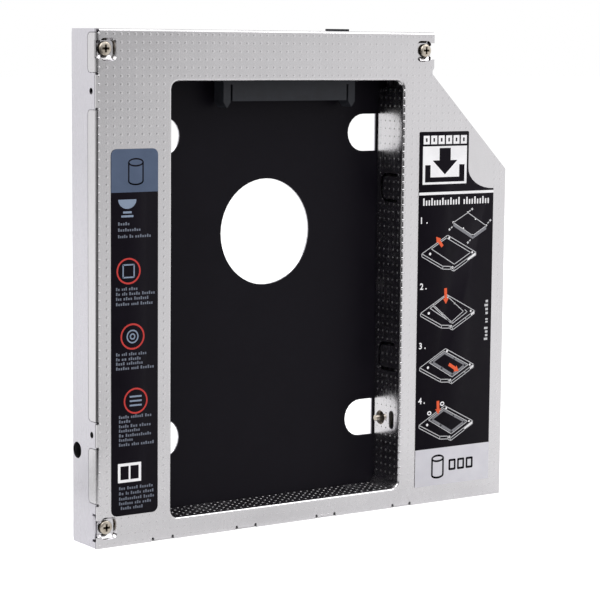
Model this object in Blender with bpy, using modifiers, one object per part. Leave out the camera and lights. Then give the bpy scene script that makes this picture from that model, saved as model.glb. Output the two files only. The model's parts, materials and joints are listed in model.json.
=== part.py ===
"""Laptop drive caddy: a folded metal tray that holds a 2.5-inch drive in a slim disc-drive bay.

It stands on its front edge. X runs across the width, Y from the open face to the back, and Z from the front
edge up to the rear connectors. The origin is at the middle of the front edge. All sizes are in metres.
"""

import math

import bmesh
import bpy
from mathutils import Matrix, Vector

# Bay and bands: the overall width and depth are their sums
LEFT_BAND = 0.0214
BAY_WIDTH = 0.0713
RIGHT_BAND = 0.0100
WING_WIDTH = 0.0253
FRONT_BAND = 0.0053
BAY_LENGTH = 0.1092
REAR_BAND = 0.0127
THICKNESS = 0.0127
WING_THICKNESS = 0.0074
BAY_CORNER = 0.0020
EAR_LENGTH = 0.0108
WING_CUT_ANGLE = math.radians(45)
EAR_NOTCH = 0.0007

# Sheets and their folds
COVER_SHEET = 0.00045
TRAY_SHEET = 0.0005
FILM_SHEET = 0.0003
LABEL_SHEET = 0.0001
BOARD_SHEET = 0.0010
BEND_RADIUS = 0.0007
TAB_DEPTH = 0.0040
LIP_DEPTH = 0.0017

# Named clearances
SEAT_GAP = 0.0002
TAB_GAP = 0.00015
GLUE_LINE = 0.00005
THREAD_GAP = 0.00012
CORNER_GAP = 0.0003

# Tabs of the cover
TAB_CORNER = 0.0011
FRONT_TAB_WIDTH = 0.0050
FRONT_TAB_FIRST = 0.0189
FRONT_TAB_LAST = 0.00895
FRONT_TAB_COUNT = 4
FRONT_RELIEF = 0.0008
SIDE_RELIEF = 0.0006
LOWER_TAB_START = 0.0112
LOWER_TAB_LENGTH = 0.0135
LONG_TAB_START = 0.0316
LONG_TAB_FROM_REAR = 0.0196
UPPER_TAB_LENGTH = 0.0095

# Screw pockets, ears and screws
POCKET_DEPTH = 0.0009
POCKET_HEIGHT = 0.0055
POCKET_REACH = 0.0057
POCKET_SLOPE = 0.0006
POCKET_EDGE = 0.00115
POCKET_CORNER = 0.0012
COVER_SCREW_INSET = 0.0027
COVER_SCREW_RISE = 0.0002
REAR_SCREW_DROP = 0.0048
FRONT_SCREW_HEIGHT = 0.0051
EAR_REACH = 0.0056
EAR_WIDTH = 0.0058
EAR_BEND = 0.00055
EAR_RELIEF = 0.0006
HEAD_RADIUS = 0.00175
HEAD_HEIGHT = 0.0008
SHANK_RADIUS = 0.00095
COVER_SCREW_LENGTH = 0.0030
RECESS_WIDTH = 0.00042
RECESS_SPAN = 0.0019
RECESS_DEPTH = 0.00045

# Drive position and lock screws
DRIVE_REAR_CLEARANCE = 0.0006
FAR_DRIVE_HOLE = 0.0906
LOCK_AXIS_HEIGHT = 0.0030
LOCK_HOLE_RADIUS = 0.00192
LOCK_SCREW_RADIUS = 0.00150
LOCK_SCREW_LENGTH = 0.0060
LOCK_NUT_WIDTH = 0.0055
LOCK_NUT_HEIGHT = 0.0022
LOCK_TIP_RECESS = 0.0001
LOCK_SLOT_LENGTH = 0.0050
LOCK_SLOT_WIDTH = 0.0022
LOCK_SLOT_RISE = 0.0050
ACCESS_HOLE_RADIUS = 0.00205
ACCESS_HOLE_FROM_BACK = 0.00276
WALL_HOLE_RADIUS = 0.0008
WALL_HOLE_DEPTH = 0.0024

# Sprung fingers in the right bay wall
FINGER_WIDTH = 0.0060
FINGER_LENGTH = 0.0064
FINGER_SLOT = 0.0009
FINGER_ROOT = 0.0024
FINGER_CORNER = 0.0012
FINGER_FROM_FRONT = 0.0351
FINGER_FROM_REAR = 0.0286

# Holes in the floor
FLOOR_HOLE_RADIUS = 0.01385
FLOOR_HOLE_HEIGHT = 0.0699
D_HOLE_RADIUS = 0.00495
D_HOLE_REACH = 0.00935
D_HOLE_EDGE = 0.0002
D_HOLE_SPACING = 0.0772
FLOOR_SHIFT = 0.0002
FILM_MARGIN = 0.0030

# Connectors and board
CONNECTOR_HEIGHT = 0.0044
RECEPTACLE_OFFSET = 0.0034
RECEPTACLE_FACE_DROP = 0.0052
RECEPTACLE_DEPTH = 0.0064
RECEPTACLE_BAR = 0.0355
POST_WIDTH = 0.0021
POST_GAP = 0.0006
POST_REACH = 0.0017
POST_TIP = 0.0014
POST_ARM = 0.0022
CONTACT_PITCH = 0.00127
CONTACT_WIDTH = 0.0005
CONTACT_SHEET = 0.0002
CONTACT_GAP = 0.00015
CONTACT_FOOT = 0.0009
SIGNAL_COUNT = 7
POWER_COUNT = 15
SEGMENT_GAP = 0.0055
SLOT_HEIGHT = 0.0016
SLOT_FROM_BOARD = 0.0012
SLOT_SIDE = 0.0010
HOST_FROM_BAY_RIGHT = 0.01745
HOST_WIDTH = 0.0240
HOST_DEPTH = 0.0075
HOST_MOUTH_DEPTH = 0.0055
HOST_WALL = 0.0007
HOST_TONGUE = 0.0011
HOST_POWER_COUNT = 6
HOST_SEGMENT_GAP = 0.0032
HOST_RIB_WIDTH = 0.0071
HOST_RIB_RISE = 0.0006
BOARD_LEFT = 0.0238
BOARD_PAST_BAY = 0.00285
BOARD_EDGE = 0.0012
BOARD_SCREW_INSET = 0.0034
BOARD_SCREW_RADIUS = 0.0010
BOARD_HEAD_RADIUS = 0.0017
BOARD_HEAD_HEIGHT = 0.0007

# Labels
LEFT_LABEL_SIDE = 0.0041
LEFT_LABEL_INNER = 0.0041
LEFT_LABEL_FOOT = 0.0076
LEFT_LABEL_FROM_REAR = 0.0290
LEFT_LABEL_CORNER = 0.0015
GUIDE_LABEL_INNER = 0.0055
GUIDE_LABEL_OUTER = 0.0042
GUIDE_LABEL_FOOT = 0.0047
GUIDE_LABEL_TOP_OUTER = 0.0131
GUIDE_LABEL_TOP_DROP = 0.0026
GUIDE_LABEL_NECK = 0.0100
GUIDE_LABEL_SHOULDER = 0.0057
GUIDE_LABEL_CORNER = 0.0004

# Facets
BEND_STEPS = 3
CORNER_STEPS = 4
ROUND_STEPS = 20
HOLE_STEPS = 24
FLOOR_HOLE_STEPS = 48

# Edges of the whole caddy, worked out from the bands
BODY_WIDTH = LEFT_BAND + BAY_WIDTH + RIGHT_BAND
WIDTH = BODY_WIDTH + WING_WIDTH
DEPTH = FRONT_BAND + BAY_LENGTH + REAR_BAND
LEFT = -WIDTH / 2
RIGHT = WIDTH / 2
BODY_RIGHT = LEFT + BODY_WIDTH
BACK_Y = THICKNESS / 2
FACE_Y = -THICKNESS / 2 + LABEL_SHEET + GLUE_LINE
WING_BACK_Y = FACE_Y + WING_THICKNESS
BAY_LEFT = LEFT + LEFT_BAND
BAY_RIGHT = BAY_LEFT + BAY_WIDTH
BAY_FRONT = FRONT_BAND
BAY_REAR = BAY_FRONT + BAY_LENGTH
BAY_MIDDLE = (BAY_LEFT + BAY_RIGHT) / 2
FLOOR_MIDDLE = BAY_MIDDLE - FLOOR_SHIFT

# Levels through the thickness, from the face to the back
TRAY_TOP_Y = FACE_Y + COVER_SHEET + SEAT_GAP
POCKET_Y = FACE_Y + POCKET_DEPTH
EAR_Y = POCKET_Y + COVER_SHEET + SEAT_GAP
TAB_END_Y = FACE_Y + TAB_DEPTH
NOTCH_Y = TAB_END_Y + TAB_GAP
FLOOR_Y = BACK_Y - TRAY_SHEET
FILM_Y = FLOOR_Y - SEAT_GAP - FILM_SHEET
RIM_END_Y = FILM_Y - SEAT_GAP
BOARD_Y = FILM_Y - SEAT_GAP - BOARD_SHEET
CONNECTOR_BACK_Y = BOARD_Y - SEAT_GAP
CONNECTOR_Y = CONNECTOR_BACK_Y - CONNECTOR_HEIGHT
LOCK_Y = FILM_Y - LOCK_AXIS_HEIGHT

# Height of the drive's far screw holes when it is seated
DRIVE_REAR = BAY_REAR - DRIVE_REAR_CLEARANCE
LOCK_Z = DRIVE_REAR - FAR_DRIVE_HOLE

# The cut corner runs from the side of the wing to the foot of the ear
EAR_FOOT = DEPTH - EAR_LENGTH
CUT_RUN = WING_WIDTH + EAR_NOTCH
WING_STRAIGHT = EAR_FOOT - CUT_RUN * math.tan(WING_CUT_ANGLE)
CUT_NORMAL = Vector((math.sin(WING_CUT_ANGLE), 0, math.cos(WING_CUT_ANGLE)))

# How far the notches for the tabs reach into the tray's walls
NOTCH_REACH = TRAY_SHEET + 0.00005

# Concave fold between the step wall and the wing plate
INNER_BEND = BEND_RADIUS - TRAY_SHEET + 0.00005

X_AXIS = Vector((1, 0, 0))
Y_AXIS = Vector((0, 1, 0))
Z_AXIS = Vector((0, 0, 1))
SAME = 1e-7
WELD = 1e-6
FAR = 0.01


def clear_scene():
    for obj in list(bpy.data.objects):
        bpy.data.objects.remove(obj)


def new_collection(name):
    collection = bpy.data.collections.new(name)
    bpy.context.scene.collection.children.link(collection)
    return collection


def new_material(name, colour, roughness, metallic):
    material = bpy.data.materials.new(name)
    material.use_nodes = True
    shader = material.node_tree.nodes["Principled BSDF"]
    shader.inputs["Base Color"].default_value = (*colour, 1.0)
    shader.inputs["Roughness"].default_value = roughness
    shader.inputs["Metallic"].default_value = metallic
    material.diffuse_color = (*colour, 1.0)
    return material


clear_scene()
PARTS = new_collection("laptop_drive_caddy")
CUTTERS = new_collection("caddy_cutters")
DIMPLED_METAL = new_material("dimpled_metal", (0.62, 0.61, 0.62), 0.28, 1.0)
PLAIN_METAL = new_material("plain_metal", (0.70, 0.69, 0.70), 0.32, 1.0)
BLACK_FILM = new_material("black_film", (0.012, 0.011, 0.012), 0.45, 0.0)
BOARD_GREEN = new_material("board_laminate", (0.02, 0.10, 0.04), 0.40, 0.0)
DARK_PLASTIC = new_material("dark_plastic", (0.045, 0.048, 0.055), 0.50, 0.0)
CONTACT_GOLD = new_material("contact_gold", (0.83, 0.62, 0.28), 0.25, 1.0)
SCREW_NICKEL = new_material("screw_nickel", (0.60, 0.56, 0.50), 0.30, 1.0)
LABEL_BLACK = new_material("label_black", (0.015, 0.014, 0.016), 0.40, 0.0)


def mesh_object(name, bm, material, smooth=False):
    mesh = bpy.data.meshes.new(name)
    bm.normal_update()
    bm.to_mesh(mesh)
    bm.free()
    obj = bpy.data.objects.new(name, mesh)
    if smooth:
        mesh.shade_smooth()
        mesh.set_sharp_from_angle(angle=math.radians(35))
    if material:
        mesh.materials.append(material)
        PARTS.objects.link(obj)
    else:
        CUTTERS.objects.link(obj)
        obj.hide_render = True
        obj.display_type = "WIRE"
    return obj


def boolean(obj, other, operation="DIFFERENCE"):
    modifier = obj.modifiers.new(other.name, "BOOLEAN")
    modifier.operation = operation
    modifier.solver = "EXACT"
    modifier.object = other


def solidify(obj, thickness):
    """Thickens an open sheet on the side away from its normals."""
    modifier = obj.modifiers.new("sheet", "SOLIDIFY")
    modifier.thickness = thickness
    modifier.offset = -1
    modifier.use_even_offset = True
    modifier.use_rim = True


# Solids added to one mesh


def add_box(bm, low, high):
    size = Vector(high) - Vector(low)
    centre = (Vector(high) + Vector(low)) / 2
    matrix = Matrix.Translation(centre) @ Matrix.Diagonal((*size, 1))
    bmesh.ops.create_cube(bm, size=1, matrix=matrix)


def add_cylinder(bm, centre, axis, radius, length, steps=HOLE_STEPS):
    turn = Z_AXIS.rotation_difference(axis).to_matrix().to_4x4()
    matrix = Matrix.Translation(centre) @ turn
    bmesh.ops.create_cone(
        bm, cap_ends=True, segments=steps, radius1=radius, radius2=radius, depth=length, matrix=matrix
    )


# Outlines, as lists of points (u, v)


def arc_points(centre, radius, start, end, steps):
    """Points of an arc, both ends included, with angles in degrees."""
    points = []
    for step in range(steps + 1):
        angle = math.radians(start + (end - start) * step / steps)
        points.append((centre[0] + radius * math.cos(angle), centre[1] + radius * math.sin(angle)))
    return points


def rounded_rectangle(u_low, u_high, v_low, v_high, radius, steps=CORNER_STEPS):
    points = arc_points((u_low + radius, v_low + radius), radius, 180, 270, steps)
    points += arc_points((u_high - radius, v_low + radius), radius, 270, 360, steps)
    points += arc_points((u_high - radius, v_high - radius), radius, 0, 90, steps)
    points += arc_points((u_low + radius, v_high - radius), radius, 90, 180, steps)
    return points


def outline_solid(name, outlines, low, high, axis, material=None):
    """Flat outlines, first the edge and then the holes, extruded from low to high along an axis."""
    curve = bpy.data.curves.new(name, "CURVE")
    curve.dimensions = "2D"
    curve.fill_mode = "BOTH"
    curve.extrude = (high - low) / 2
    for outline in outlines:
        spline = curve.splines.new("POLY")
        spline.points.add(len(outline) - 1)
        for point, (u, v) in zip(spline.points, outline):
            point.co = (u, v, 0, 1)
        spline.use_cyclic_u = True
    holder = bpy.data.objects.new(name + "_curve", curve)
    CUTTERS.objects.link(holder)
    graph = bpy.context.evaluated_depsgraph_get()
    mesh = bpy.data.meshes.new_from_object(holder.evaluated_get(graph))
    bm = bmesh.new()
    bm.from_mesh(mesh)
    bpy.data.objects.remove(holder)
    bpy.data.meshes.remove(mesh)
    bmesh.ops.remove_doubles(bm, verts=bm.verts, dist=WELD)
    middle = (low + high) / 2
    turns = {
        "X": Matrix(((0, 0, 1, middle), (1, 0, 0, 0), (0, 1, 0, 0), (0, 0, 0, 1))),
        "Y": Matrix(((1, 0, 0, 0), (0, 0, -1, middle), (0, 1, 0, 0), (0, 0, 0, 1))),
        "Z": Matrix.Translation((0, 0, middle)),
    }
    bmesh.ops.transform(bm, matrix=turns[axis], verts=bm.verts)
    bmesh.ops.recalc_face_normals(bm, faces=bm.faces)
    return mesh_object(name, bm, material)


# Sheet metal, drawn as the open surface of the sheet's outer side


def add_loop(bm, points, y):
    """A closed loop of edges at one level."""
    verts = [bm.verts.new((x, y, z)) for x, z in points]
    return [bm.edges.new((vert, verts[index - 1])) for index, vert in enumerate(verts)]


def loft(bm, loops):
    for near, far in zip(loops, loops[1:]):
        bmesh.ops.bridge_loops(bm, edges=near + far)


def fill(bm, edges):
    bmesh.ops.triangle_fill(bm, use_beauty=True, use_dissolve=False, edges=edges)


def edges_of(geometry):
    return [item for item in geometry if isinstance(item, bmesh.types.BMEdge)]


def verts_of(geometry):
    return [item for item in geometry if isinstance(item, bmesh.types.BMVert)]


def fold(bm, edges, away, turn, radius):
    """Rolls the sheet's edges through a right angle, from the direction away to the direction turn."""
    centre = edges[0].verts[0].co + turn * radius
    verts = list({vert for edge in edges for vert in edge.verts})
    rolled = bmesh.ops.spin(
        bm, geom=verts + edges, cent=centre, axis=away.cross(turn), angle=math.radians(90), steps=BEND_STEPS
    )
    return edges_of(rolled["geom_last"])


def pull(bm, edges, offset):
    """Carries the sheet on from its edges in a straight line."""
    made = bmesh.ops.extrude_edge_only(bm, edges=edges)["geom"]
    verts = set(verts_of(made))
    bmesh.ops.translate(bm, verts=list(verts), vec=offset)
    return [edge for edge in edges_of(made) if set(edge.verts) <= verts]


def pull_to(bm, edges, y):
    return pull(bm, edges, Y_AXIS * (y - edges[0].verts[0].co.y))


def between(edges, axis, low, high):
    """The edges whose middle lies between two places along an axis, 0 for X and 2 for Z."""
    middles = [(edge, (edge.verts[0].co[axis] + edge.verts[1].co[axis]) / 2) for edge in edges]
    return [edge for edge, middle in middles if low < middle < high]


def within(edges, axis, spans):
    return [edge for span in spans for edge in between(edges, axis, *span)]


def along(edges, axis, value):
    """The edges that run along one straight line, at this value of an axis."""
    return [edge for edge in edges if all(abs(vert.co[axis] - value) < SAME for vert in edge.verts)]


def face_outwards(bm, face_direction, level):
    """Turns all normals to the outer side, judged by the faces of the plate at one level."""
    bmesh.ops.recalc_face_normals(bm, faces=bm.faces)
    bm.normal_update()
    plate = [face for face in bm.faces if abs(face.calc_center_median().y - level) < SAME]
    if sum(face.normal.dot(face_direction) * face.calc_area() for face in plate) < 0:
        bmesh.ops.reverse_faces(bm, faces=bm.faces)


# Screw places: name, side of the caddy, distance from that side and height


def cover_screw_places():
    rear = DEPTH - REAR_SCREW_DROP
    return {
        "rear_left": (LEFT, 1, rear),
        "rear_right": (BODY_RIGHT, -1, rear),
        "front_left": (LEFT, 1, FRONT_SCREW_HEIGHT),
    }


def front_tabs():
    """Start and end of each front tab, along X."""
    tabs = []
    first = LEFT + FRONT_TAB_FIRST
    pitch = (BODY_RIGHT - FRONT_TAB_LAST - first) / (FRONT_TAB_COUNT - 1)
    for index in range(FRONT_TAB_COUNT):
        middle = first + index * pitch
        tabs.append((middle - FRONT_TAB_WIDTH / 2, middle + FRONT_TAB_WIDTH / 2))
    return tabs


def left_tabs():
    """Start and end of each tab on the left side, along Z."""
    upper_end = DEPTH - BEND_RADIUS - CORNER_GAP
    return [
        (LOWER_TAB_START, LOWER_TAB_START + LOWER_TAB_LENGTH),
        (LONG_TAB_START, DEPTH - LONG_TAB_FROM_REAR),
        (upper_end - UPPER_TAB_LENGTH, upper_end),
    ]


# The cover


def cover_outline():
    """Edge of the flat face, from the front left corner, set back where a tab folds down."""
    bend = BEND_RADIUS
    half = FRONT_RELIEF / 2
    points = [(LEFT, 0)]
    for start, end in front_tabs():
        for middle in (start - half, end + half):
            points.append((middle - half, 0 if middle < start else bend))
            points += arc_points((middle, bend), half, 180, 0, CORNER_STEPS)[1:-1]
            points.append((middle + half, bend if middle < start else 0))
    points += [(RIGHT, 0), (RIGHT, WING_STRAIGHT)]
    points += [(BODY_RIGHT - EAR_NOTCH, EAR_FOOT), (BODY_RIGHT - EAR_NOTCH, EAR_FOOT + EAR_NOTCH / 2)]
    points += [(BODY_RIGHT, EAR_FOOT + 2 * EAR_NOTCH), (BODY_RIGHT, DEPTH - bend)]
    inset = LEFT + bend
    points.append((inset + CORNER_GAP, DEPTH - bend))
    lower, middle, upper = left_tabs()
    points += [(inset, upper[1]), (inset, upper[0])]
    points += [(inset, upper[0] - SIDE_RELIEF), (LEFT, upper[0] - SIDE_RELIEF)]
    for start, end in (middle, lower):
        points += [(LEFT, end + SIDE_RELIEF), (inset, end + SIDE_RELIEF), (inset, end)]
        points += [(inset, start), (inset, start - SIDE_RELIEF), (LEFT, start - SIDE_RELIEF)]
    return points


def add_window_rim(bm):
    """The rolled edge of the window and its deep wall, as loops that shrink round the bend and run down."""
    loops = []
    for step in range(BEND_STEPS + 1):
        angle = math.radians(90) * step / BEND_STEPS
        spread = BEND_RADIUS * (1 - math.sin(angle))
        level = FACE_Y + BEND_RADIUS * (1 - math.cos(angle))
        loops.append(add_loop(bm, window_points(spread), level))
    loops.append(add_loop(bm, window_points(0), RIM_END_Y))
    loft(bm, loops)
    return loops[0]


def window_points(spread):
    return rounded_rectangle(
        BAY_LEFT - spread, BAY_RIGHT + spread, BAY_FRONT - spread, BAY_REAR + spread, BAY_CORNER + spread
    )


def add_pocket(bm, side, inward, height):
    """A drawn pocket beside the cover's edge, with sloping walls and a flat floor."""
    middle = height - COVER_SCREW_RISE
    low = middle - POCKET_HEIGHT / 2
    high = middle + POCKET_HEIGHT / 2
    edge = side + inward * POCKET_EDGE
    far = side + inward * POCKET_REACH
    floor_far = far - inward * POCKET_SLOPE
    rim = rounded_rectangle(min(edge, far), max(edge, far), low, high, POCKET_CORNER)
    floor = rounded_rectangle(
        min(edge, floor_far),
        max(edge, floor_far),
        low + POCKET_SLOPE,
        high - POCKET_SLOPE,
        POCKET_CORNER - POCKET_SLOPE / 2,
    )
    rim_loop = add_loop(bm, rim, FACE_Y)
    floor_loop = add_loop(bm, floor, POCKET_Y)
    loft(bm, [rim_loop, floor_loop])
    fill(bm, floor_loop)
    return rim_loop


def add_cover_tabs(bm, outline):
    add_tab(bm, along(outline, 2, DEPTH - BEND_RADIUS), Z_AXIS)
    for start, end in front_tabs():
        add_tab(bm, between(along(outline, 2, BEND_RADIUS), 0, start, end), -Z_AXIS)
    for start, end in left_tabs():
        add_tab(bm, between(along(outline, 0, LEFT + BEND_RADIUS), 2, start, end), -X_AXIS)


def add_tab(bm, root, away):
    """Folds a tab down from the cover's edge and rounds its free corners."""
    end = pull_to(bm, fold(bm, root, away, Y_AXIS, BEND_RADIUS), TAB_END_Y)
    corners = [vert for edge in end for vert in edge.verts if len(vert.link_edges) == 2]
    bmesh.ops.bevel(
        bm, geom=corners, offset=TAB_CORNER, segments=CORNER_STEPS, profile=0.5, affect="VERTICES"
    )


def finger_outline(height):
    """The U-shaped slot round a sprung finger, in the plane of the right bay wall, as points (y, z)."""
    root = FACE_Y + FINGER_ROOT
    half = FINGER_WIDTH / 2
    inner = FINGER_CORNER
    outer = FINGER_CORNER + FINGER_SLOT
    near = (root + FINGER_LENGTH - inner, height - half + inner)
    far = (root + FINGER_LENGTH - inner, height + half - inner)
    points = [(root, height - half - FINGER_SLOT)]
    points += arc_points(near, outer, 270, 360, CORNER_STEPS)
    points += arc_points(far, outer, 0, 90, CORNER_STEPS)
    points += [(root, height + half + FINGER_SLOT), (root, height + half)]
    points += arc_points(far, inner, 90, 0, CORNER_STEPS)
    points += arc_points(near, inner, 0, -90, CORNER_STEPS)
    points.append((root, height - half))
    return points


def lock_slot_outline():
    """The upright slot beside each lock hole, as points (y, z)."""
    centre = LOCK_Y - LOCK_SLOT_RISE
    half = LOCK_SLOT_WIDTH / 2
    straight = LOCK_SLOT_LENGTH / 2 - half
    points = arc_points((centre, LOCK_Z - straight), half, 180, 360, 2 * CORNER_STEPS)
    return points + arc_points((centre, LOCK_Z + straight), half, 0, 180, 2 * CORNER_STEPS)


def make_cover():
    bm = bmesh.new()
    outline = add_loop(bm, cover_outline(), FACE_Y)
    holes = add_window_rim(bm)
    for side, inward, height in cover_screw_places().values():
        holes += add_pocket(bm, side, inward, height)
    fill(bm, outline + holes)
    add_cover_tabs(bm, outline)
    face_outwards(bm, -Y_AXIS, FACE_Y)
    cover = mesh_object("top_cover", bm, DIMPLED_METAL)
    solidify(cover, COVER_SHEET)
    boolean(cover, cover_box_cuts())
    boolean(cover, cover_round_cuts())
    for name, height in (("front", BAY_FRONT + FINGER_FROM_FRONT), ("rear", BAY_REAR - FINGER_FROM_REAR)):
        low = BAY_RIGHT - SEAT_GAP
        high = BAY_RIGHT + COVER_SHEET + SEAT_GAP
        boolean(cover, outline_solid(name + "_finger_slot", [finger_outline(height)], low, high, "X"))
    for name, low, high in (
        ("left", BAY_LEFT - COVER_SHEET - SEAT_GAP, BAY_LEFT + SEAT_GAP),
        ("right", BAY_RIGHT - SEAT_GAP, BAY_RIGHT + COVER_SHEET + SEAT_GAP),
    ):
        boolean(cover, outline_solid(name + "_lock_slot", [lock_slot_outline()], low, high, "X"))


def cover_box_cuts():
    """Shortens the rear wall of the window to a lip, and opens each pocket to the side."""
    bm = bmesh.new()
    corner = BAY_REAR - BAY_CORNER
    low = (BAY_LEFT - BAY_CORNER, FACE_Y + LIP_DEPTH, corner)
    add_box(bm, low, (BAY_RIGHT + BAY_CORNER, BACK_Y, BAY_REAR + BAY_CORNER))
    for side, inward, height in cover_screw_places().values():
        middle = height - COVER_SCREW_RISE
        half = POCKET_HEIGHT / 2 - POCKET_SLOPE
        outer = side - inward * FAR
        inner = side + inward * (POCKET_EDGE + SAME)
        low = (min(outer, inner), FACE_Y - FAR, middle - half)
        add_box(bm, low, (max(outer, inner), POCKET_Y, middle + half))
    return mesh_object("cover_box_cuts", bm, None)


def cover_round_cuts():
    """Screw holes in the pocket floors and the lock holes in both bay walls."""
    bm = bmesh.new()
    for side, inward, height in cover_screw_places().values():
        centre = (side + inward * COVER_SCREW_INSET, POCKET_Y, height)
        add_cylinder(bm, centre, Y_AXIS, SHANK_RADIUS + SEAT_GAP, 4 * COVER_SHEET, ROUND_STEPS)
    for wall in (BAY_LEFT, BAY_RIGHT):
        add_cylinder(bm, (wall, LOCK_Y, LOCK_Z), X_AXIS, LOCK_HOLE_RADIUS, 4 * COVER_SHEET)
    return mesh_object("cover_round_cuts", bm, None)


# The tray


def ordered(breaks, low, high):
    """The break points that lie inside a side, in order, with both ends."""
    return [low] + sorted(place for place in breaks if low + SAME < place < high - SAME) + [high]


def ear_span(height):
    """Where an ear starts and ends along Z, without and with its relief gaps."""
    half = EAR_WIDTH / 2
    return (height - half, height + half), (height - half - EAR_RELIEF, height + half + EAR_RELIEF)


def make_tray():
    bend = BEND_RADIUS
    near, far = LEFT + bend, BODY_RIGHT - bend
    low, high = bend, DEPTH - bend
    places = cover_screw_places()
    rear_ear, rear_gap = ear_span(places["rear_left"][2])
    front_ear, front_gap = ear_span(places["front_left"][2])
    step_top = cut_height(BODY_RIGHT + INNER_BEND, bend)
    right_breaks = [step_top, *rear_ear, *rear_gap]
    left_breaks = [*front_ear, *front_gap, *rear_ear]
    points = [(near, low)] + [(far, z) for z in ordered(right_breaks, low, high)]
    points += [(near, z) for z in reversed(ordered(left_breaks, low, high)[1:])]

    bm = bmesh.new()
    plate = add_loop(bm, points, BACK_Y)
    fill(bm, plate)

    left = pull_to(bm, fold(bm, along(plate, 0, near), -X_AXIS, -Y_AXIS, bend), NOTCH_Y)
    left += extend_wall(bm, left, -Z_AXIS * bend, 2, low)
    left += extend_wall(bm, left, Z_AXIS * bend, 2, high)
    tall = pull_to(bm, within(left, 2, [(0, rear_ear[0]), (rear_ear[1], DEPTH)]), EAR_Y + EAR_BEND)
    plain = [(0, front_gap[0]), (front_gap[1], rear_ear[0]), (rear_ear[1], DEPTH)]
    pull_to(bm, within(tall, 2, plain), TRAY_TOP_Y)
    add_ear(bm, between(tall, 2, *front_ear), X_AXIS)
    add_ear(bm, pull(bm, between(left, 2, *rear_ear), X_AXIS * (COVER_SHEET + TAB_GAP)), X_AXIS)

    pull_to(bm, fold(bm, along(plate, 2, low), -Z_AXIS, -Y_AXIS, bend), TRAY_TOP_Y)
    pull_to(bm, fold(bm, along(plate, 2, high), Z_AXIS, -Y_AXIS, bend), NOTCH_Y)

    right = fold(bm, along(plate, 0, far), X_AXIS, -Y_AXIS, bend)
    right = pull_to(bm, right, WING_BACK_Y + INNER_BEND)
    extend_wall(bm, between(right, 2, low, step_top), -Z_AXIS * bend, 2, low)
    add_wing(bm, between(right, 2, low, step_top))
    right = pull_to(bm, between(right, 2, step_top, high), NOTCH_Y)
    extend_wall(bm, right, Z_AXIS * bend, 2, high)
    right = pull_to(bm, right, EAR_Y + EAR_BEND)
    plain = [(step_top, rear_gap[0]), (rear_gap[1], high)]
    pull_to(bm, within(right, 2, plain), TRAY_TOP_Y)
    add_ear(bm, between(right, 2, *rear_ear), -X_AXIS)

    face_outwards(bm, Y_AXIS, BACK_Y)
    tray = mesh_object("lower_tray", bm, PLAIN_METAL)
    solidify(tray, TRAY_SHEET)
    left_notches = [notch_outline(start - TAB_GAP, end + TAB_GAP) for start, end in left_tabs()]
    front_notches = [notch_outline(start - FRONT_RELIEF, end + FRONT_RELIEF) for start, end in front_tabs()]
    front_notches = [[(x, y) for y, x in notch] for notch in front_notches]
    boolean(tray, outline_solid("left_notches", left_notches, LEFT - SEAT_GAP, LEFT + NOTCH_REACH, "X"))
    boolean(tray, outline_solid("front_notches", front_notches, -SEAT_GAP, NOTCH_REACH, "Z"))
    boolean(tray, floor_cuts("tray"))
    boolean(tray, tray_wall_cuts())
    for name, outline in d_hole_outlines().items():
        boolean(tray, outline_solid("tray_" + name, [outline], FLOOR_Y - SEAT_GAP, BACK_Y + FAR, "Y"))


def notch_outline(start, end):
    """Room in the top of a wall for one tab of the cover, as points (y, place along the wall)."""
    radius = TAB_CORNER + TAB_GAP
    points = [(TRAY_TOP_Y - SEAT_GAP, start)]
    points += arc_points((NOTCH_Y - radius, start + radius), radius, 270, 360, CORNER_STEPS)
    points += arc_points((NOTCH_Y - radius, end - radius), radius, 0, 90, CORNER_STEPS)
    return points + [(TRAY_TOP_Y - SEAT_GAP, end)]


def extend_wall(bm, top_edges, offset, axis, end):
    """Carries the end of a wall on past its fold to close the corner, and returns the new top edge."""
    corner = [vert for edge in top_edges for vert in edge.verts if abs(vert.co[axis] - end) < SAME][0]
    rim = set(along(bm.edges, axis, end))
    ends = [edge for edge in corner.link_edges if edge in rim]
    pull(bm, ends, offset)
    return [edge for edge in corner.link_edges if edge.is_boundary and edge not in top_edges]


def add_ear(bm, edges, inward):
    """Folds a screw ear inwards from the top of a wall."""
    edges = pull_to(bm, edges, EAR_Y + EAR_BEND)
    edges = fold(bm, edges, -Y_AXIS, inward, EAR_BEND)
    pull(bm, edges, inward * EAR_REACH)


def cut_height(x, inset):
    """Height of the cut corner's line at x, moved inwards by an inset."""
    foot = Vector((BODY_RIGHT - EAR_NOTCH, 0, EAR_FOOT)) - CUT_NORMAL * inset
    return foot.z - (x - foot.x) * math.tan(WING_CUT_ANGLE)


def add_wing(bm, step_edges):
    """The thinner wing: a fold out from the step wall, its plate, and the walls on its three free sides."""
    bend = BEND_RADIUS
    root = fold(bm, step_edges, -Y_AXIS, X_AXIS, INNER_BEND)
    ends = {vert.co.z: vert for edge in root for vert in edge.verts}
    foot, head = ends[min(ends)], ends[max(ends)]
    side = RIGHT - bend
    verts = [foot, *(bm.verts.new((side, WING_BACK_Y, z)) for z in (bend, cut_height(side, bend))), head]
    front, outer, cut = [[bm.edges.new(pair)] for pair in zip(verts, verts[1:])]
    fill(bm, root + front + outer + cut)
    front = pull_to(bm, fold(bm, front, -Z_AXIS, -Y_AXIS, bend), TRAY_TOP_Y)
    extend_wall(bm, front, -X_AXIS * (INNER_BEND + bend - TAB_GAP), 0, foot.co.x)
    pull_to(bm, fold(bm, cut, CUT_NORMAL, -Y_AXIS, bend), TRAY_TOP_Y)
    outer = fold(bm, outer, X_AXIS, -Y_AXIS, bend)
    outer += extend_wall(bm, outer, -Z_AXIS * bend, 2, bend)
    pull_to(bm, outer, TRAY_TOP_Y)


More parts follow.
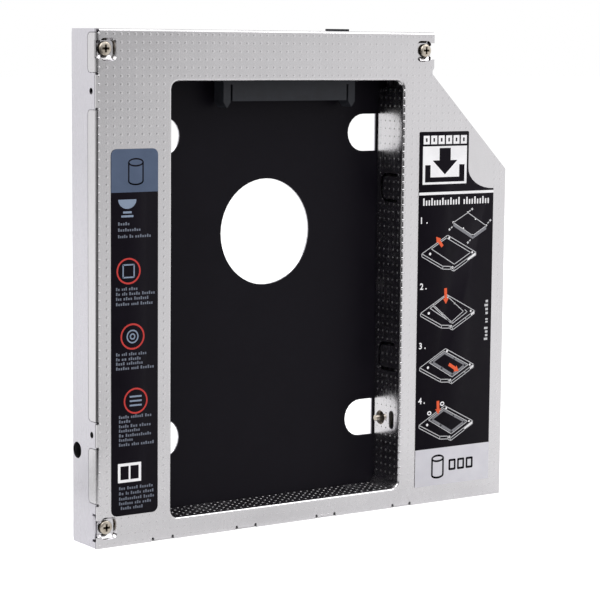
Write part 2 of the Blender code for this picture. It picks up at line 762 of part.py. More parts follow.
def d_hole_outlines():
    """The four D-shaped holes, round towards the middle and flat along the bay walls, as points (x, z)."""
    outlines = {}
    for side, inward in (("left", 1), ("right", -1)):
        flat = FLOOR_MIDDLE - inward * (BAY_WIDTH / 2 - D_HOLE_EDGE)
        centre = flat + inward * (D_HOLE_REACH - D_HOLE_RADIUS)
        for end, height in (("front", LOCK_Z), ("rear", LOCK_Z + D_HOLE_SPACING)):
            start = -90 if inward > 0 else 90
            points = arc_points((centre, height), D_HOLE_RADIUS, start, start + 180, 3 * CORNER_STEPS)
            points += [(flat, points[-1][1]), (flat, points[0][1])]
            outlines[side + "_" + end + "_d_hole"] = points
    return outlines


def board_screw_places():
    height = (BAY_REAR + DEPTH) / 2
    left = BAY_MIDDLE - BOARD_LEFT + BOARD_SCREW_INSET
    right = BAY_RIGHT + BOARD_PAST_BAY - BOARD_SCREW_INSET
    return {"left": (left, height), "right": (right, height)}


def floor_cuts(name):
    """The big round hole and the board screws' holes, through the tray's back plate or the film."""
    bm = bmesh.new()
    length = 4 * (BACK_Y - FILM_Y)
    centre = (FLOOR_MIDDLE, BACK_Y, BAY_FRONT + FLOOR_HOLE_HEIGHT)
    add_cylinder(bm, centre, Y_AXIS, FLOOR_HOLE_RADIUS, length, FLOOR_HOLE_STEPS)
    for x, z in board_screw_places().values():
        add_cylinder(bm, (x, BACK_Y, z), Y_AXIS, BOARD_SCREW_RADIUS + THREAD_GAP, length, ROUND_STEPS)
    return mesh_object(name + "_floor_cuts", bm, None)


def tray_wall_cuts():
    """Access holes to the lock screws, small wall holes, ear threads and the mouth of the host plug."""
    bm = bmesh.new()
    access_y = BACK_Y - ACCESS_HOLE_FROM_BACK
    for wall in (LEFT, BODY_RIGHT):
        add_cylinder(bm, (wall, access_y, LOCK_Z), X_AXIS, ACCESS_HOLE_RADIUS, 4 * TRAY_SHEET)
    lower, long, upper = left_tabs()
    for below, above in ((lower, long), (long, upper)):
        centre = (LEFT, FACE_Y + WALL_HOLE_DEPTH, (below[1] + above[0]) / 2)
        add_cylinder(bm, centre, X_AXIS, WALL_HOLE_RADIUS, 4 * TRAY_SHEET, ROUND_STEPS)
    for side, inward, height in cover_screw_places().values():
        centre = (side + inward * COVER_SCREW_INSET, EAR_Y, height)
        add_cylinder(bm, centre, Y_AXIS, SHANK_RADIUS + THREAD_GAP, 4 * TRAY_SHEET, ROUND_STEPS)
    middle = host_middle()
    half = HOST_WIDTH / 2 + TAB_GAP
    low = (middle - half, FACE_Y + TAB_DEPTH, DEPTH - 2 * TRAY_SHEET)
    add_box(bm, low, (middle + half, CONNECTOR_BACK_Y + SEAT_GAP, DEPTH + TRAY_SHEET))
    return mesh_object("tray_wall_cuts", bm, None)


# Film and board


def make_film():
    edge = [
        (BAY_LEFT - FILM_MARGIN, BAY_FRONT - FILM_MARGIN),
        (BAY_RIGHT + FILM_MARGIN, BAY_FRONT - FILM_MARGIN),
        (BAY_RIGHT + FILM_MARGIN, DEPTH - BOARD_EDGE),
        (BAY_LEFT - FILM_MARGIN, DEPTH - BOARD_EDGE),
    ]
    outlines = [edge, *d_hole_outlines().values()]
    film = outline_solid("insulating_film", outlines, FILM_Y, FILM_Y + FILM_SHEET, "Y", BLACK_FILM)
    boolean(film, floor_cuts("film"))


def make_board():
    near = BAY_MIDDLE - BOARD_LEFT
    far = BAY_RIGHT + BOARD_PAST_BAY
    edge = rounded_rectangle(near, far, BAY_REAR + SEAT_GAP, DEPTH - BOARD_EDGE, BOARD_EDGE)
    holes = [
        arc_points(place, BOARD_SCREW_RADIUS + THREAD_GAP, 0, 360, ROUND_STEPS)[:-1]
        for place in board_screw_places().values()
    ]
    outline_solid("adapter_board", [edge, *holes], BOARD_Y, BOARD_Y + BOARD_SHEET, "Y", BOARD_GREEN)


# Connectors


def segment_centres(middle, counts, gap):
    """Places along X of the contacts in two groups, with a gap between the groups."""
    spans = [(count - 1) * CONTACT_PITCH for count in counts]
    first = middle - (spans[0] + gap + spans[1]) / 2
    groups = []
    for start, count in ((first, counts[0]), (first + spans[0] + gap, counts[1])):
        groups.append([start + index * CONTACT_PITCH for index in range(count)])
    return groups


def receptacle_middle():
    return BAY_MIDDLE + RECEPTACLE_OFFSET


def receptacle_levels():
    """Height of the mating face and of the back of the drive receptacle."""
    face = BAY_REAR - RECEPTACLE_FACE_DROP
    return face, face + RECEPTACLE_DEPTH


def make_receptacle():
    """Bar with two slots, and a guide post on an arm at each end."""
    middle = receptacle_middle()
    face, back = receptacle_levels()
    half = RECEPTACLE_BAR / 2
    inner = half + POST_GAP
    outer = inner + POST_WIDTH
    tip = face - POST_REACH
    shoulder = tip + POST_TIP
    arm = back - POST_ARM
    right = [(half, face), (half, arm), (inner, arm), (inner, shoulder)]
    right += [((inner + outer) / 2, tip), (outer, shoulder), (outer, back)]
    points = [(middle + x, z) for x, z in right] + [(middle - x, z) for x, z in reversed(right)]
    housing = outline_solid("drive_receptacle", [points], CONNECTOR_Y, CONNECTOR_BACK_Y, "Y", DARK_PLASTIC)
    bm = bmesh.new()
    slot_back = CONNECTOR_BACK_Y - SLOT_FROM_BOARD
    for centres in segment_centres(middle, (SIGNAL_COUNT, POWER_COUNT), SEGMENT_GAP):
        low = (centres[0] - SLOT_SIDE, slot_back - SLOT_HEIGHT, face - FAR)
        add_box(bm, low, (centres[-1] + SLOT_SIDE, slot_back, back + FAR))
    boolean(housing, mesh_object("receptacle_slots", bm, None))


def make_contact(name, x, profile):
    """A bent strip along a profile of points (y, z), centred on x."""
    bm = bmesh.new()
    start = bm.verts.new((-CONTACT_WIDTH / 2, *profile[0]))
    for place in profile[1:]:
        end = bm.verts.new((-CONTACT_WIDTH / 2, *place))
        bm.edges.new((start, end))
        start = end
    pull(bm, list(bm.edges), X_AXIS * CONTACT_WIDTH)
    contact = mesh_object(name, bm, CONTACT_GOLD)
    contact.location.x = x
    solidify(contact, CONTACT_SHEET)


def make_receptacle_contacts():
    """Springs that lie in the slots, come out at the back and step down to the board."""
    face, back = receptacle_levels()
    inside = CONNECTOR_BACK_Y - SLOT_FROM_BOARD - CONTACT_GAP - CONTACT_SHEET
    foot = BOARD_Y - CONTACT_GAP - CONTACT_SHEET
    turn = back + CONTACT_FOOT / 2
    profile = [
        (inside - SLOT_HEIGHT / 4, face + CONTACT_FOOT),
        (inside - SLOT_HEIGHT / 3, face + 2 * CONTACT_FOOT),
        (inside, face + 4 * CONTACT_FOOT),
        (inside, turn),
        (foot, turn + CONTACT_SHEET),
        (foot, turn + CONTACT_SHEET + CONTACT_FOOT),
    ]
    groups = segment_centres(receptacle_middle(), (SIGNAL_COUNT, POWER_COUNT), SEGMENT_GAP)
    for kind, centres in zip(("signal", "power"), groups):
        for index, x in enumerate(centres, 1):
            make_contact(f"{kind}_contact_{index:02}", x, profile)


def host_middle():
    return BAY_RIGHT - HOST_FROM_BAY_RIGHT


def make_host_plug():
    """Shroud open at the rear edge, with a tongue inside, slits for the contacts and a rib on top."""
    middle = host_middle()
    half = HOST_WIDTH / 2
    bm = bmesh.new()
    add_box(bm, (middle - half, CONNECTOR_Y, DEPTH - HOST_DEPTH), (middle + half, CONNECTOR_BACK_Y, DEPTH))
    plug = mesh_object("host_plug", bm, DARK_PLASTIC)
    bm = bmesh.new()
    low = (middle - HOST_RIB_WIDTH / 2, CONNECTOR_Y, DEPTH - HOST_DEPTH / 2)
    add_box(bm, low, (middle + HOST_RIB_WIDTH / 2, CONNECTOR_Y + HOST_WALL, DEPTH + HOST_RIB_RISE))
    boolean(plug, mesh_object("host_rib", bm, None), "UNION")
    bm = bmesh.new()
    mouth = DEPTH - HOST_MOUTH_DEPTH
    tongue = tongue_level()
    wall = HOST_WALL
    near = middle - half + wall
    far = middle + half - wall
    add_box(bm, (near, CONNECTOR_Y + wall, mouth), (far, tongue, DEPTH + FAR))
    add_box(bm, (near, tongue + HOST_TONGUE, mouth), (far, CONNECTOR_BACK_Y - wall / 2, DEPTH + FAR))
    boolean(plug, mesh_object("host_mouth", bm, None))
    bm = bmesh.new()
    for centres in segment_centres(middle, (SIGNAL_COUNT, HOST_POWER_COUNT), HOST_SEGMENT_GAP):
        low = (centres[0] - SLOT_SIDE, tongue - CONTACT_SHEET - 3 * CONTACT_GAP, DEPTH - HOST_DEPTH - FAR)
        add_box(bm, low, (centres[-1] + SLOT_SIDE, tongue, mouth + CONTACT_GAP))
    boolean(plug, mesh_object("host_slits", bm, None))


def tongue_level():
    """The tongue's side that carries the contacts."""
    return CONNECTOR_Y + CONNECTOR_HEIGHT / 2


def make_host_contacts():
    inner = DEPTH - HOST_DEPTH
    on_tongue = tongue_level() - CONTACT_GAP - CONTACT_SHEET
    foot = BOARD_Y - CONTACT_GAP - CONTACT_SHEET
    turn = inner - CONTACT_FOOT / 2
    profile = [
        (on_tongue, DEPTH - CONTACT_FOOT),
        (on_tongue, turn),
        (foot, turn - CONTACT_SHEET),
        (foot, turn - CONTACT_SHEET - CONTACT_FOOT),
    ]
    groups = segment_centres(host_middle(), (SIGNAL_COUNT, HOST_POWER_COUNT), HOST_SEGMENT_GAP)
    for kind, centres in zip(("host_signal", "host_power"), groups):
        for index, x in enumerate(centres, 1):
            make_contact(f"{kind}_contact_{index}", x, profile)


# Screws and nuts


def plus_outline():
    """A cross, as points round its twelve corners."""
    wide = RECESS_SPAN / 2
    slim = RECESS_WIDTH / 2
    quarter = [(wide, -slim), (wide, slim), (slim, slim)]
    points = []
    for turns in range(4):
        rotation = Matrix.Rotation(math.radians(90 * turns), 2)
        points += [tuple(rotation @ Vector(point)) for point in quarter]
    return points


def turned(name, profile, recess_top, material=SCREW_NICKEL):
    """A screw turned about local Z from a profile that runs from top to point, with a cross recess."""
    bm = bmesh.new()
    verts = [bm.verts.new((radius, 0, height)) for radius, height in profile]
    for pair in zip(verts, verts[1:]):
        bm.edges.new(pair)
    screw = mesh_object(name, bm, material)
    lathe = screw.modifiers.new("lathe", "SCREW")
    lathe.axis = "Z"
    lathe.angle = math.radians(360)
    lathe.steps = ROUND_STEPS
    lathe.render_steps = ROUND_STEPS
    lathe.use_merge_vertices = True
    lathe.merge_threshold = WELD
    low = recess_top - RECESS_DEPTH
    cutter = outline_solid(name + "_recess", [plus_outline()], low, recess_top + RECESS_DEPTH, "Z")
    cutter.parent = screw
    boolean(screw, cutter)
    return screw


def pan_head_profile(head_radius, head_height, shank_radius, length):
    """Domed head above local Z = 0, shank below."""
    flat = head_radius * 0.55
    edge = head_height * 0.45
    points = [(0, head_height)]
    for step in range(CORNER_STEPS + 1):
        angle = math.radians(90) * step / CORNER_STEPS
        radius = flat + (head_radius - flat) * math.sin(angle)
        points.append((radius, edge + (head_height - edge) * math.cos(angle)))
    points += [(head_radius, 0), (shank_radius, 0), (shank_radius, shank_radius / 2 - length)]
    points += [(shank_radius / 2, -length), (0, -length)]
    return points


def make_cover_screws():
    profile = pan_head_profile(HEAD_RADIUS, HEAD_HEIGHT, SHANK_RADIUS, COVER_SCREW_LENGTH)
    for name, (side, inward, height) in cover_screw_places().items():
        screw = turned("cover_screw_" + name, profile, HEAD_HEIGHT)
        screw.location = (side + inward * COVER_SCREW_INSET, POCKET_Y - SEAT_GAP, height)
        screw.rotation_euler = (math.radians(90), 0, 0)


def make_board_screws():
    length = BACK_Y - BOARD_Y + SEAT_GAP
    profile = pan_head_profile(BOARD_HEAD_RADIUS, BOARD_HEAD_HEIGHT, BOARD_SCREW_RADIUS, length)
    for name, (x, z) in board_screw_places().items():
        screw = turned("board_screw_" + name, profile, BOARD_HEAD_HEIGHT)
        screw.location = (x, BOARD_Y - SEAT_GAP, z)
        screw.rotation_euler = (math.radians(90), 0, 0)


def make_lock_screws():
    """Headless screws behind each bay wall, recess outwards, and the nuts that carry them."""
    chamfer = LOCK_SCREW_RADIUS / 4
    profile = [(0, 0), (LOCK_SCREW_RADIUS - chamfer, 0), (LOCK_SCREW_RADIUS, -chamfer)]
    profile += [(LOCK_SCREW_RADIUS, chamfer - LOCK_SCREW_LENGTH)]
    profile += [(LOCK_SCREW_RADIUS - chamfer, -LOCK_SCREW_LENGTH), (0, -LOCK_SCREW_LENGTH)]
    for name, wall, outward in (("left", BAY_LEFT, -1), ("right", BAY_RIGHT, 1)):
        screw = turned("drive_lock_screw_" + name, profile, 0)
        screw.location = (wall + outward * (LOCK_TIP_RECESS + LOCK_SCREW_LENGTH), LOCK_Y, LOCK_Z)
        screw.rotation_euler = (0, outward * math.radians(90), 0)
        hexagon = arc_points((0, 0), LOCK_NUT_WIDTH / math.sqrt(3), 0, 360, 6)[:-1]
        bore = arc_points((0, 0), LOCK_SCREW_RADIUS + THREAD_GAP, 0, 360, ROUND_STEPS)[:-1]
        nut = outline_solid("lock_nut_" + name, [hexagon, bore], 0, LOCK_NUT_HEIGHT, "X", SCREW_NICKEL)
        nut.rotation_euler = (math.radians(90), 0, 0)
        seat = wall + outward * (COVER_SHEET + SEAT_GAP)
        nut.location = (min(seat, seat + outward * LOCK_NUT_HEIGHT), LOCK_Y, LOCK_Z)


# Labels


def make_labels():
    low = FACE_Y - GLUE_LINE - LABEL_SHEET
    high = FACE_Y - GLUE_LINE
    outline = rounded_rectangle(
        LEFT + LEFT_LABEL_SIDE,
        BAY_LEFT - LEFT_LABEL_INNER,
        LEFT_LABEL_FOOT,
        DEPTH - LEFT_LABEL_FROM_REAR,
        LEFT_LABEL_CORNER,
    )
    outline_solid("left_label", [outline], low, high, "Y", LABEL_BLACK)
    outline_solid("guide_label", [guide_label_outline()], low, high, "Y", LABEL_BLACK)


def guide_label_outline():
    """The right label: full width below, a hollow curve, and a narrower top beside the cut corner."""
    near = BAY_RIGHT + GUIDE_LABEL_INNER
    far = RIGHT - GUIDE_LABEL_OUTER
    top_far = RIGHT - GUIDE_LABEL_TOP_OUTER
    top = cut_height(top_far, 0) - GUIDE_LABEL_TOP_DROP
    neck = top - GUIDE_LABEL_NECK
    shoulder = neck - GUIDE_LABEL_SHOULDER
    foot = GUIDE_LABEL_FOOT
    small = GUIDE_LABEL_CORNER
    points = [(near, foot), (far, foot), (far, shoulder)]
    for step in range(1, 2 * CORNER_STEPS):
        angle = math.radians(90) * step / (2 * CORNER_STEPS)
        points.append((far - (far - top_far) * math.sin(angle), neck - (neck - shoulder) * math.cos(angle)))
    points.append((top_far, neck))
    points += arc_points((top_far - small, top - small), small, 0, 90, CORNER_STEPS)
    points += arc_points((near + small, top - small), small, 90, 180, CORNER_STEPS)
    return points


make_cover()
make_tray()
make_film()
make_board()
make_receptacle()
make_receptacle_contacts()
make_host_plug()
make_host_contacts()
make_cover_screws()
make_board_screws()
make_lock_screws()
make_labels()
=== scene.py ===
"""Looks of the laptop drive caddy: finishes, embossed dots, printed labels, camera and studio.

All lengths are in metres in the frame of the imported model: X across the width, Y from the open face to the
back, Z up. Only the print on the labels is drawn in millimetres, as points (X, Z), and scaled by MM.
"""

import json
import math

import bmesh
import bpy
from mathutils import Matrix, Vector
from mathutils.bvhtree import BVHTree


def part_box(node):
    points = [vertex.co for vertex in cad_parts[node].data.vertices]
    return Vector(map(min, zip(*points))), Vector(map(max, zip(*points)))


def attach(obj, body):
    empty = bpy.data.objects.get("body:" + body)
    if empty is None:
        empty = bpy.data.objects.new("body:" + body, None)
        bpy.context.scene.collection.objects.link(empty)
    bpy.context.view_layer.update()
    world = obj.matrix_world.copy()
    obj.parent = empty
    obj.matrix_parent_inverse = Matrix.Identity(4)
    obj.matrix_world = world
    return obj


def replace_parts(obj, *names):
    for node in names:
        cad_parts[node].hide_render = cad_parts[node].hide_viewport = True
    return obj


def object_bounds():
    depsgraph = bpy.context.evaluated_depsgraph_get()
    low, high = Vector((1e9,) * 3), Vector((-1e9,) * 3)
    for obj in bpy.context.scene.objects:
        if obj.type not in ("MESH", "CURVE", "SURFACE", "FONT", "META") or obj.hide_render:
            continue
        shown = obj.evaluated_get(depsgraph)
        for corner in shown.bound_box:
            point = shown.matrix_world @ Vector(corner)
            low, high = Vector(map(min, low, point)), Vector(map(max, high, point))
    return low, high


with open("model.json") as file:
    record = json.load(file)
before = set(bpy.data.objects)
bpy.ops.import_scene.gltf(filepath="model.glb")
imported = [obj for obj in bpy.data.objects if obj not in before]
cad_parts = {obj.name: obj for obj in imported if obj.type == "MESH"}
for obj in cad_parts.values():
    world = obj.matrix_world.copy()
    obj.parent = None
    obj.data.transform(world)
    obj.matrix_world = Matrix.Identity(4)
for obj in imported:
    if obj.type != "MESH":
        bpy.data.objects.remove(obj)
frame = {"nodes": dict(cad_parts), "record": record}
CAD_LOW, CAD_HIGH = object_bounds()
NODES = frame["nodes"]
MM = 0.001

# Vertices closer than this are one, and edges with greater angles than these stay sharp
WELD = 1e-6
BEND_SHARP = math.radians(40)
DOT_SHARP = math.radians(60)
THREAD_SHARP = math.radians(35)

# The embossed pattern of the cover sheet: its grid, and the shape of a dot
DOT_PITCH = 0.00202
FIRST_COLUMN = 0.0010
FIRST_ROW = 0.0007
DOT_RADIUS = 0.00040
DOT_HEIGHT = 0.000045
DOT_SINK = 0.00015
DOT_SIDES = 10
DOT_RINGS = ((0.96, 0.20), (0.62, 0.80))

# How the sheet is probed for a dot: from how far off, by how many rays round its rim, and with what error
PROBE_REACH = 0.002
PROBE_RAYS = 6
DOT_FLATNESS = 0.90
DOT_LEVEL_ERROR = 0.00003
BEND_LEVEL_ERROR = 0.00020
BEND_DEPTH = 0.0005
BEND_TILT = 0.1

# Dots on the bay's walls and on the bends: their places, and their rise and width as shares of a plain dot's
WALL_DOT_FIRST = 0.0019
WALL_DOT_ROWS = 5
WALL_DOT_WIDTH = 0.75
SIDE_WALL_DOT_RISE = 1.22
FRONT_WALL_DOT_RISE = 1.83
BEND_DOT_RISE = 2.08
BEND_DOT_WIDTH = 0.8
WINDOW_DOT_RISE = 3.18
BAY_BEND_COLUMN = 0.0003
LEFT_BEND_COLUMN = 0.0009

# Bay window of the cover, as in the solids
BAY_LEFT, BAY_RIGHT = -0.0426, 0.0287
BAY_FRONT, BAY_REAR = 0.0053, 0.1145

# How far each label's front is set back for its ink, and the step from one layer of ink to the next
LABEL_THINNED = 0.00002
INK_STEP = 0.00001

# Print, in millimetres apart from the numerals' weight, which is a share of their height
NUMERAL_WEIGHT = 0.02
LEFT_LINE_HEIGHT = 0.78
LEFT_LINE_DROP = 0.08
LEFT_WORD_GAP = 0.42
LEFT_FIELD_FOOT = 87.63
LEFT_FIELD_CORNER = 1.5
SILVER_TOP = 14.9
STRIPE_FOOT = 84.0
STRIPE_HEIGHT = 0.72
DRAWING_DEPTH = (8.72, 4.64)
DRAWING_WIDTH = (9.87, -5.05)
DRAWING_DROP = 0.78
DRAWING_LINE = 0.20
DRAWING_PLACES = ((35.42, 68.3), (35.3, 52.25), (35.3, 37.45), (35.35, 21.75))
BAY_PLAN = ((0.31, 0.05), (0.90, 0.05), (0.90, 0.90), (0.26, 0.90))
LOOSE_DRIVE = ((46.0, 76.3), (51.0, 78.8), (57.5, 75.0), (52.8, 72.5))
SCREW_PATHS = (
    ((51.4, 79.1), (52.7, 79.9)),
    ((57.9, 75.6), (59.1, 76.6)),
    ((45.7, 75.2), (44.5, 74.3)),
    ((52.1, 71.4), (50.9, 70.5)),
)

# Heights of the blocks that stand for print, as shares of the line's height
BLOCK_HEIGHTS = (1.0, 0.68, 0.72, 1.0, 0.66, 0.70, 0.68, 0.98, 0.66, 0.70, 1.0, 0.67, 0.72)

# Lines of print on the left label: lower left corner, and the lengths of the words
LEFT_LINES = [
    (-58.0, 79.7, (3.4,)), (-58.0, 78.2, (6.5,)), (-58.0, 76.6, (2.8, 1.2, 4.6)),
    (-58.6, 63.7, (1.2, 1.6, 2.6)), (-58.6, 62.5, (1.3, 1.6, 3.2, 3.8)), (-58.6, 61.3, (1.7, 2.6, 4.2)),
    (-58.6, 60.0, (3.9, 2.2, 3.6)),
    (-58.6, 47.6, (1.2, 1.6, 2.3, 2.4)), (-58.6, 46.4, (1.2, 1.5, 3.6)), (-58.6, 45.3, (2.6, 4.7)),
    (-58.6, 44.1, (3.9, 2.2, 4.0)),
    (-57.8, 32.0, (3.0, 3.6, 2.0)), (-57.8, 30.9, (3.4,)), (-57.8, 29.7, (2.9, 2.1, 3.4)),
    (-57.8, 28.6, (6.1,)), (-57.8, 27.4, (1.5, 7.4)), (-57.8, 26.3, (4.1,)), (-57.8, 25.1, (3.2, 2.2, 3.9)),
    (-57.8, 14.2, (1.9, 3.2, 3.9)), (-57.8, 12.9, (1.5, 1.0, 3.1, 3.2)), (-57.8, 11.6, (6.6, 3.2)),
    (-57.8, 10.4, (4.1, 1.8, 2.6)), (-57.3, 9.2, (3.1, 2.9)),
]

# The part of a noise's range in which most of it lies
NOISE_MIDDLE = (0.3, 0.7)

# Depths between which painted shade darkens the nickel: in the cross recess of the cover screws, and in front
# of the whole part
SCREW_RECESS_SHADE = (-0.0061, -0.0059)
PAINTED_SHADE_THROUGHOUT = (CAD_LOW.y - 2 * MM, CAD_LOW.y - MM)

# Slope at the lower side of each screw pocket, measured from the cover's face, the pocket's foot and the
# screw's centre
POCKET_HEIGHT = 0.0055
SLOPE_DEPTHS = (0.00020, 0.00088)
SLOPE_HEIGHTS = (0.00010, 0.00110)
SLOPE_START = 0.0022
SLOPE_END = 0.0018
SLOPE_SHEET = 0.00008
SLOPE_STEPS = 8
SLOPE_SAG = 0.2

# Lock screws: depth and turns of the thread, where its crest lies in each turn, and the profile of the point
# as (distance past the bay end of the CAD screw, radius)
LOCK_THREAD = 0.00025
LOCK_THREAD_TURNS = 5
THREAD_RISE = 0.2
THREAD_CREST = 0.6
LOCK_POINT = ((-0.0036, 0.00130), (-0.0031, 0.00082), (0.0017, 0.00082), (0.0019, 0.00062), (0.0019, 0.0))
LOCK_SIDES = 28

# Painted shade over the cross recess of the cover screws, as it shows on their heads
CROSS_SPAN = 0.0019
CROSS_WIDTH = 0.00056
CROSS_HUB = 0.00042
CROSS_LIFT = 0.01

# Camera that took the photograph
CAMERA_PLACE = (-0.322581, -0.468070, 0.124232)
CAMERA_AZIMUTH = math.radians(34.597)
CAMERA_DROP = math.radians(6.7125)
CAMERA_ROLL = math.radians(0.5112)
CAMERA_LENS = 131.279
SENSOR = 36.0
CLIP_START = 0.01

# Card for the reflections: its section as (radius, height), its angles from the front, its grey at each angle
# in degrees, the height at which these hold, and how far they lean with the height, in radians a metre
FLAG_STEPS = 48
FLAG_PROFILE = ((0.11, 0.0005), (0.30, 0.0005), (0.30, 0.18))
FLAG_START = math.radians(-125)
FLAG_END = math.radians(62)
FLAG_TONES = (
    (-125, 0.60), (-82, 0.50), (-62, 0.08), (-24, 0.05), (0, 0.18),
    (14, 0.43), (24, 0.73), (34, 0.815), (46, 0.98), (62, 1.02),
)
FLAG_LEVEL = 0.12
FLAG_LEAN = 2.7

# Floor: how bright it shows itself to the camera, and to reflections near the object and far from it
FLOOR_SIZE = 6.0
FLOOR_GLOW = 0.56
FLOOR_GLOW_SPAN = (0.25, 2.0)
FLOOR_GLOW_NEAR = 0.14
FLOOR_GLOW_FAR = 0.42

# How strongly the world lights the object. It shows itself at 1
WORLD_LIGHT = 0.62

# Lamps: name, place, width and height, power
LAMPS = (
    ("key_light", (-0.7, -0.5, 1.0), (0.8, 0.8), 6.6),
    ("fill_light", (0.78, -0.48, 1.0), (0.6, 0.6), 3.6),
    ("back_light", (-0.2, 0.9, 0.9), (0.9, 0.6), 4.0),
)


# Node trees


class Tree:
    """A material's node tree, with short calls for the nodes that the finishes use."""

    def __init__(self, name):
        self.material = bpy.data.materials.new(name)
        self.material.use_nodes = True
        self.nodes = self.material.node_tree.nodes
        self.links = self.material.node_tree.links
        self.shader = self.nodes["Principled BSDF"]
        self.place = self.nodes.new("ShaderNodeTexCoord").outputs["Object"]

    def set(self, **values):
        """Sets sockets of the shader, by name with _ for a space. A node output is linked."""
        for name, value in values.items():
            self.plug(self.shader.inputs[name.replace("_", " ")], value)

    def plug(self, socket, value):
        """Links a node output to a socket, or sets the socket to a number or colour."""
        if isinstance(value, bpy.types.NodeSocket):
            self.links.new(value, socket)
        elif isinstance(value, tuple) and len(value) == 3 and socket.type == "RGBA":
            socket.default_value = (*value, 1.0)
        else:
            socket.default_value = value

    def make(self, kind, inputs, output):
        """One output of a new node whose inputs are plugged by name."""
        node = self.nodes.new("ShaderNode" + kind)
        for name, value in inputs.items():
            self.plug(node.inputs[name], value)
        return node.outputs[output]

    def axis(self, name):
        """The place along X, Y or Z."""
        return self.make("SeparateXYZ", {"Vector": self.place}, name)

    def stretched(self, x, y, z):
        """The place, scaled by a factor along each axis."""
        return self.make("Mapping", {"Vector": self.place, "Scale": (x, y, z)}, "Vector")

    def noise(self, vector, scale, detail, roughness):
        inputs = {"Vector": vector, "Scale": scale, "Detail": detail, "Roughness": roughness}
        return self.make("TexNoise", inputs, "Fac")

    def cells(self, vector, scale):
        return self.make("TexVoronoi", {"Vector": vector, "Scale": scale}, "Distance")

    def spread(self, value, low, high, to_low, to_high):
        """Carries a value from one range to another, clamped."""
        ends = {"From Min": low, "From Max": high, "To Min": to_low, "To Max": to_high}
        return self.make("MapRange", {"Value": value, **ends}, "Result")

    def mottle(self, noise, to_low=0.0, to_high=1.0):
        """Carries the middle of a noise to a range."""
        return self.spread(noise, *NOISE_MIDDLE, to_low, to_high)

    def ramp(self, value, stops):
        """Carries a value to a grey by stops, each a place from 0 to 1 and its grey."""
        node = self.nodes.new("ShaderNodeValToRGB")
        self.plug(node.inputs["Fac"], value)
        elements = node.color_ramp.elements
        elements[0].position, elements[1].position = stops[0][0], stops[-1][0]
        for place, _ in stops[1:-1]:
            elements.new(place)
        for element, (_, grey) in zip(elements, stops):
            element.color = (grey, grey, grey, 1.0)
        return node.outputs["Color"]

    def blend(self, value, first, second):
        """Mixes two colours, by the colour sockets of the node."""
        node = self.nodes.new("ShaderNodeMix")
        node.data_type = "RGBA"
        self.plug(node.inputs["Factor"], value)
        self.plug(node.inputs[6], first)
        self.plug(node.inputs[7], second)
        return node.outputs[2]

    def maths(self, operation, first, second):
        node = self.nodes.new("ShaderNodeMath")
        node.operation = operation
        self.plug(node.inputs[0], first)
        self.plug(node.inputs[1], second)
        return node.outputs["Value"]

    def bump(self, height, strength, distance):
        return self.make("Bump", {"Height": height, "Strength": strength, "Distance": distance}, "Normal")


# Finishes


def rolled_metal(name, colour, roughness, grain):
    """Bright sheet with its rolling grain along Z, faint smudges and fine scratches."""
    tree = Tree(name)
    lines = tree.noise(tree.stretched(9000, 9000, 160), 1.0, 4.0, 0.6)
    clouds = tree.noise(tree.place, 90.0, 4.0, 0.6)
    scratches = tree.noise(tree.stretched(700, 700, 14000), 1.0, 2.0, 0.5)
    smudged, lined = (tuple(share * channel for channel in colour) for share in (0.94, 0.9))
    tint = tree.blend(tree.spread(clouds, 0.35, 0.70, 0.0, 1.0), smudged, colour)
    tint = tree.blend(tree.spread(lines, 0.30, 0.75, 0.0, 0.5), tint, lined)
    patchy, streaky = (tree.mottle(noise, -0.05, 0.05) for noise in (clouds, lines))
    varied = tree.maths("ADD", patchy, streaky)
    height = tree.maths("ADD", lines, tree.spread(scratches, 0.62, 0.70, 0.0, 0.5))
    tree.set(
        Base_Color=tint,
        Metallic=1.0,
        Roughness=tree.maths("ADD", varied, roughness),
        Normal=tree.bump(height, grain, 0.00002),
    )
    return tree.material


def satin_film():
    """Black insulating film: satin, slightly uneven, with fine leather-like grain."""
    tree = Tree("satin_black_film")
    grain = tree.noise(tree.place, 5200.0, 3.0, 0.6)
    waves = tree.noise(tree.place, 70.0, 3.0, 0.5)
    height = tree.maths("ADD", grain, tree.maths("MULTIPLY", waves, 4.0))
    patches = tree.mottle(waves)
    tree.set(
        Base_Color=tree.blend(patches, (0.0040, 0.0031, 0.0060), (0.0055, 0.0045, 0.0078)),
        Roughness=tree.mottle(waves, 0.42, 0.52),
        Specular_IOR_Level=0.10,
        Normal=tree.bump(height, 0.25, 0.00003),
    )
    return tree.material


def moulded_plastic():
    """Dark grey connector housing with a spark-eroded mould texture."""
    tree = Tree("moulded_dark_plastic")
    grain = tree.noise(tree.place, 7000.0, 3.0, 0.7)
    clouds = tree.noise(tree.place, 260.0, 3.0, 0.5)
    patches = tree.mottle(clouds)
    tree.set(
        Base_Color=tree.blend(patches, (0.017, 0.018, 0.023), (0.025, 0.027, 0.034)),
        Roughness=tree.mottle(clouds, 0.45, 0.58),
        Specular_IOR_Level=0.28,
        Normal=tree.bump(grain, 0.35, 0.00003),
    )
    return tree.material


def board_laminate():
    """Green solder mask with copper tracks showing through and a faint weave."""
    tree = Tree("green_solder_mask")
    tracks = tree.cells(tree.stretched(420, 420, 900), 1.0)
    weave = tree.noise(tree.place, 3800.0, 2.0, 0.5)
    over_copper = tree.spread(tracks, 0.36, 0.40, 0.0, 1.0)
    tree.set(
        Base_Color=tree.blend(over_copper, (0.016, 0.110, 0.040), (0.010, 0.062, 0.024)),
        Roughness=tree.mottle(weave, 0.28, 0.42),
        Normal=tree.bump(tree.maths("ADD", over_copper, weave), 0.3, 0.00003),
    )
    return tree.material


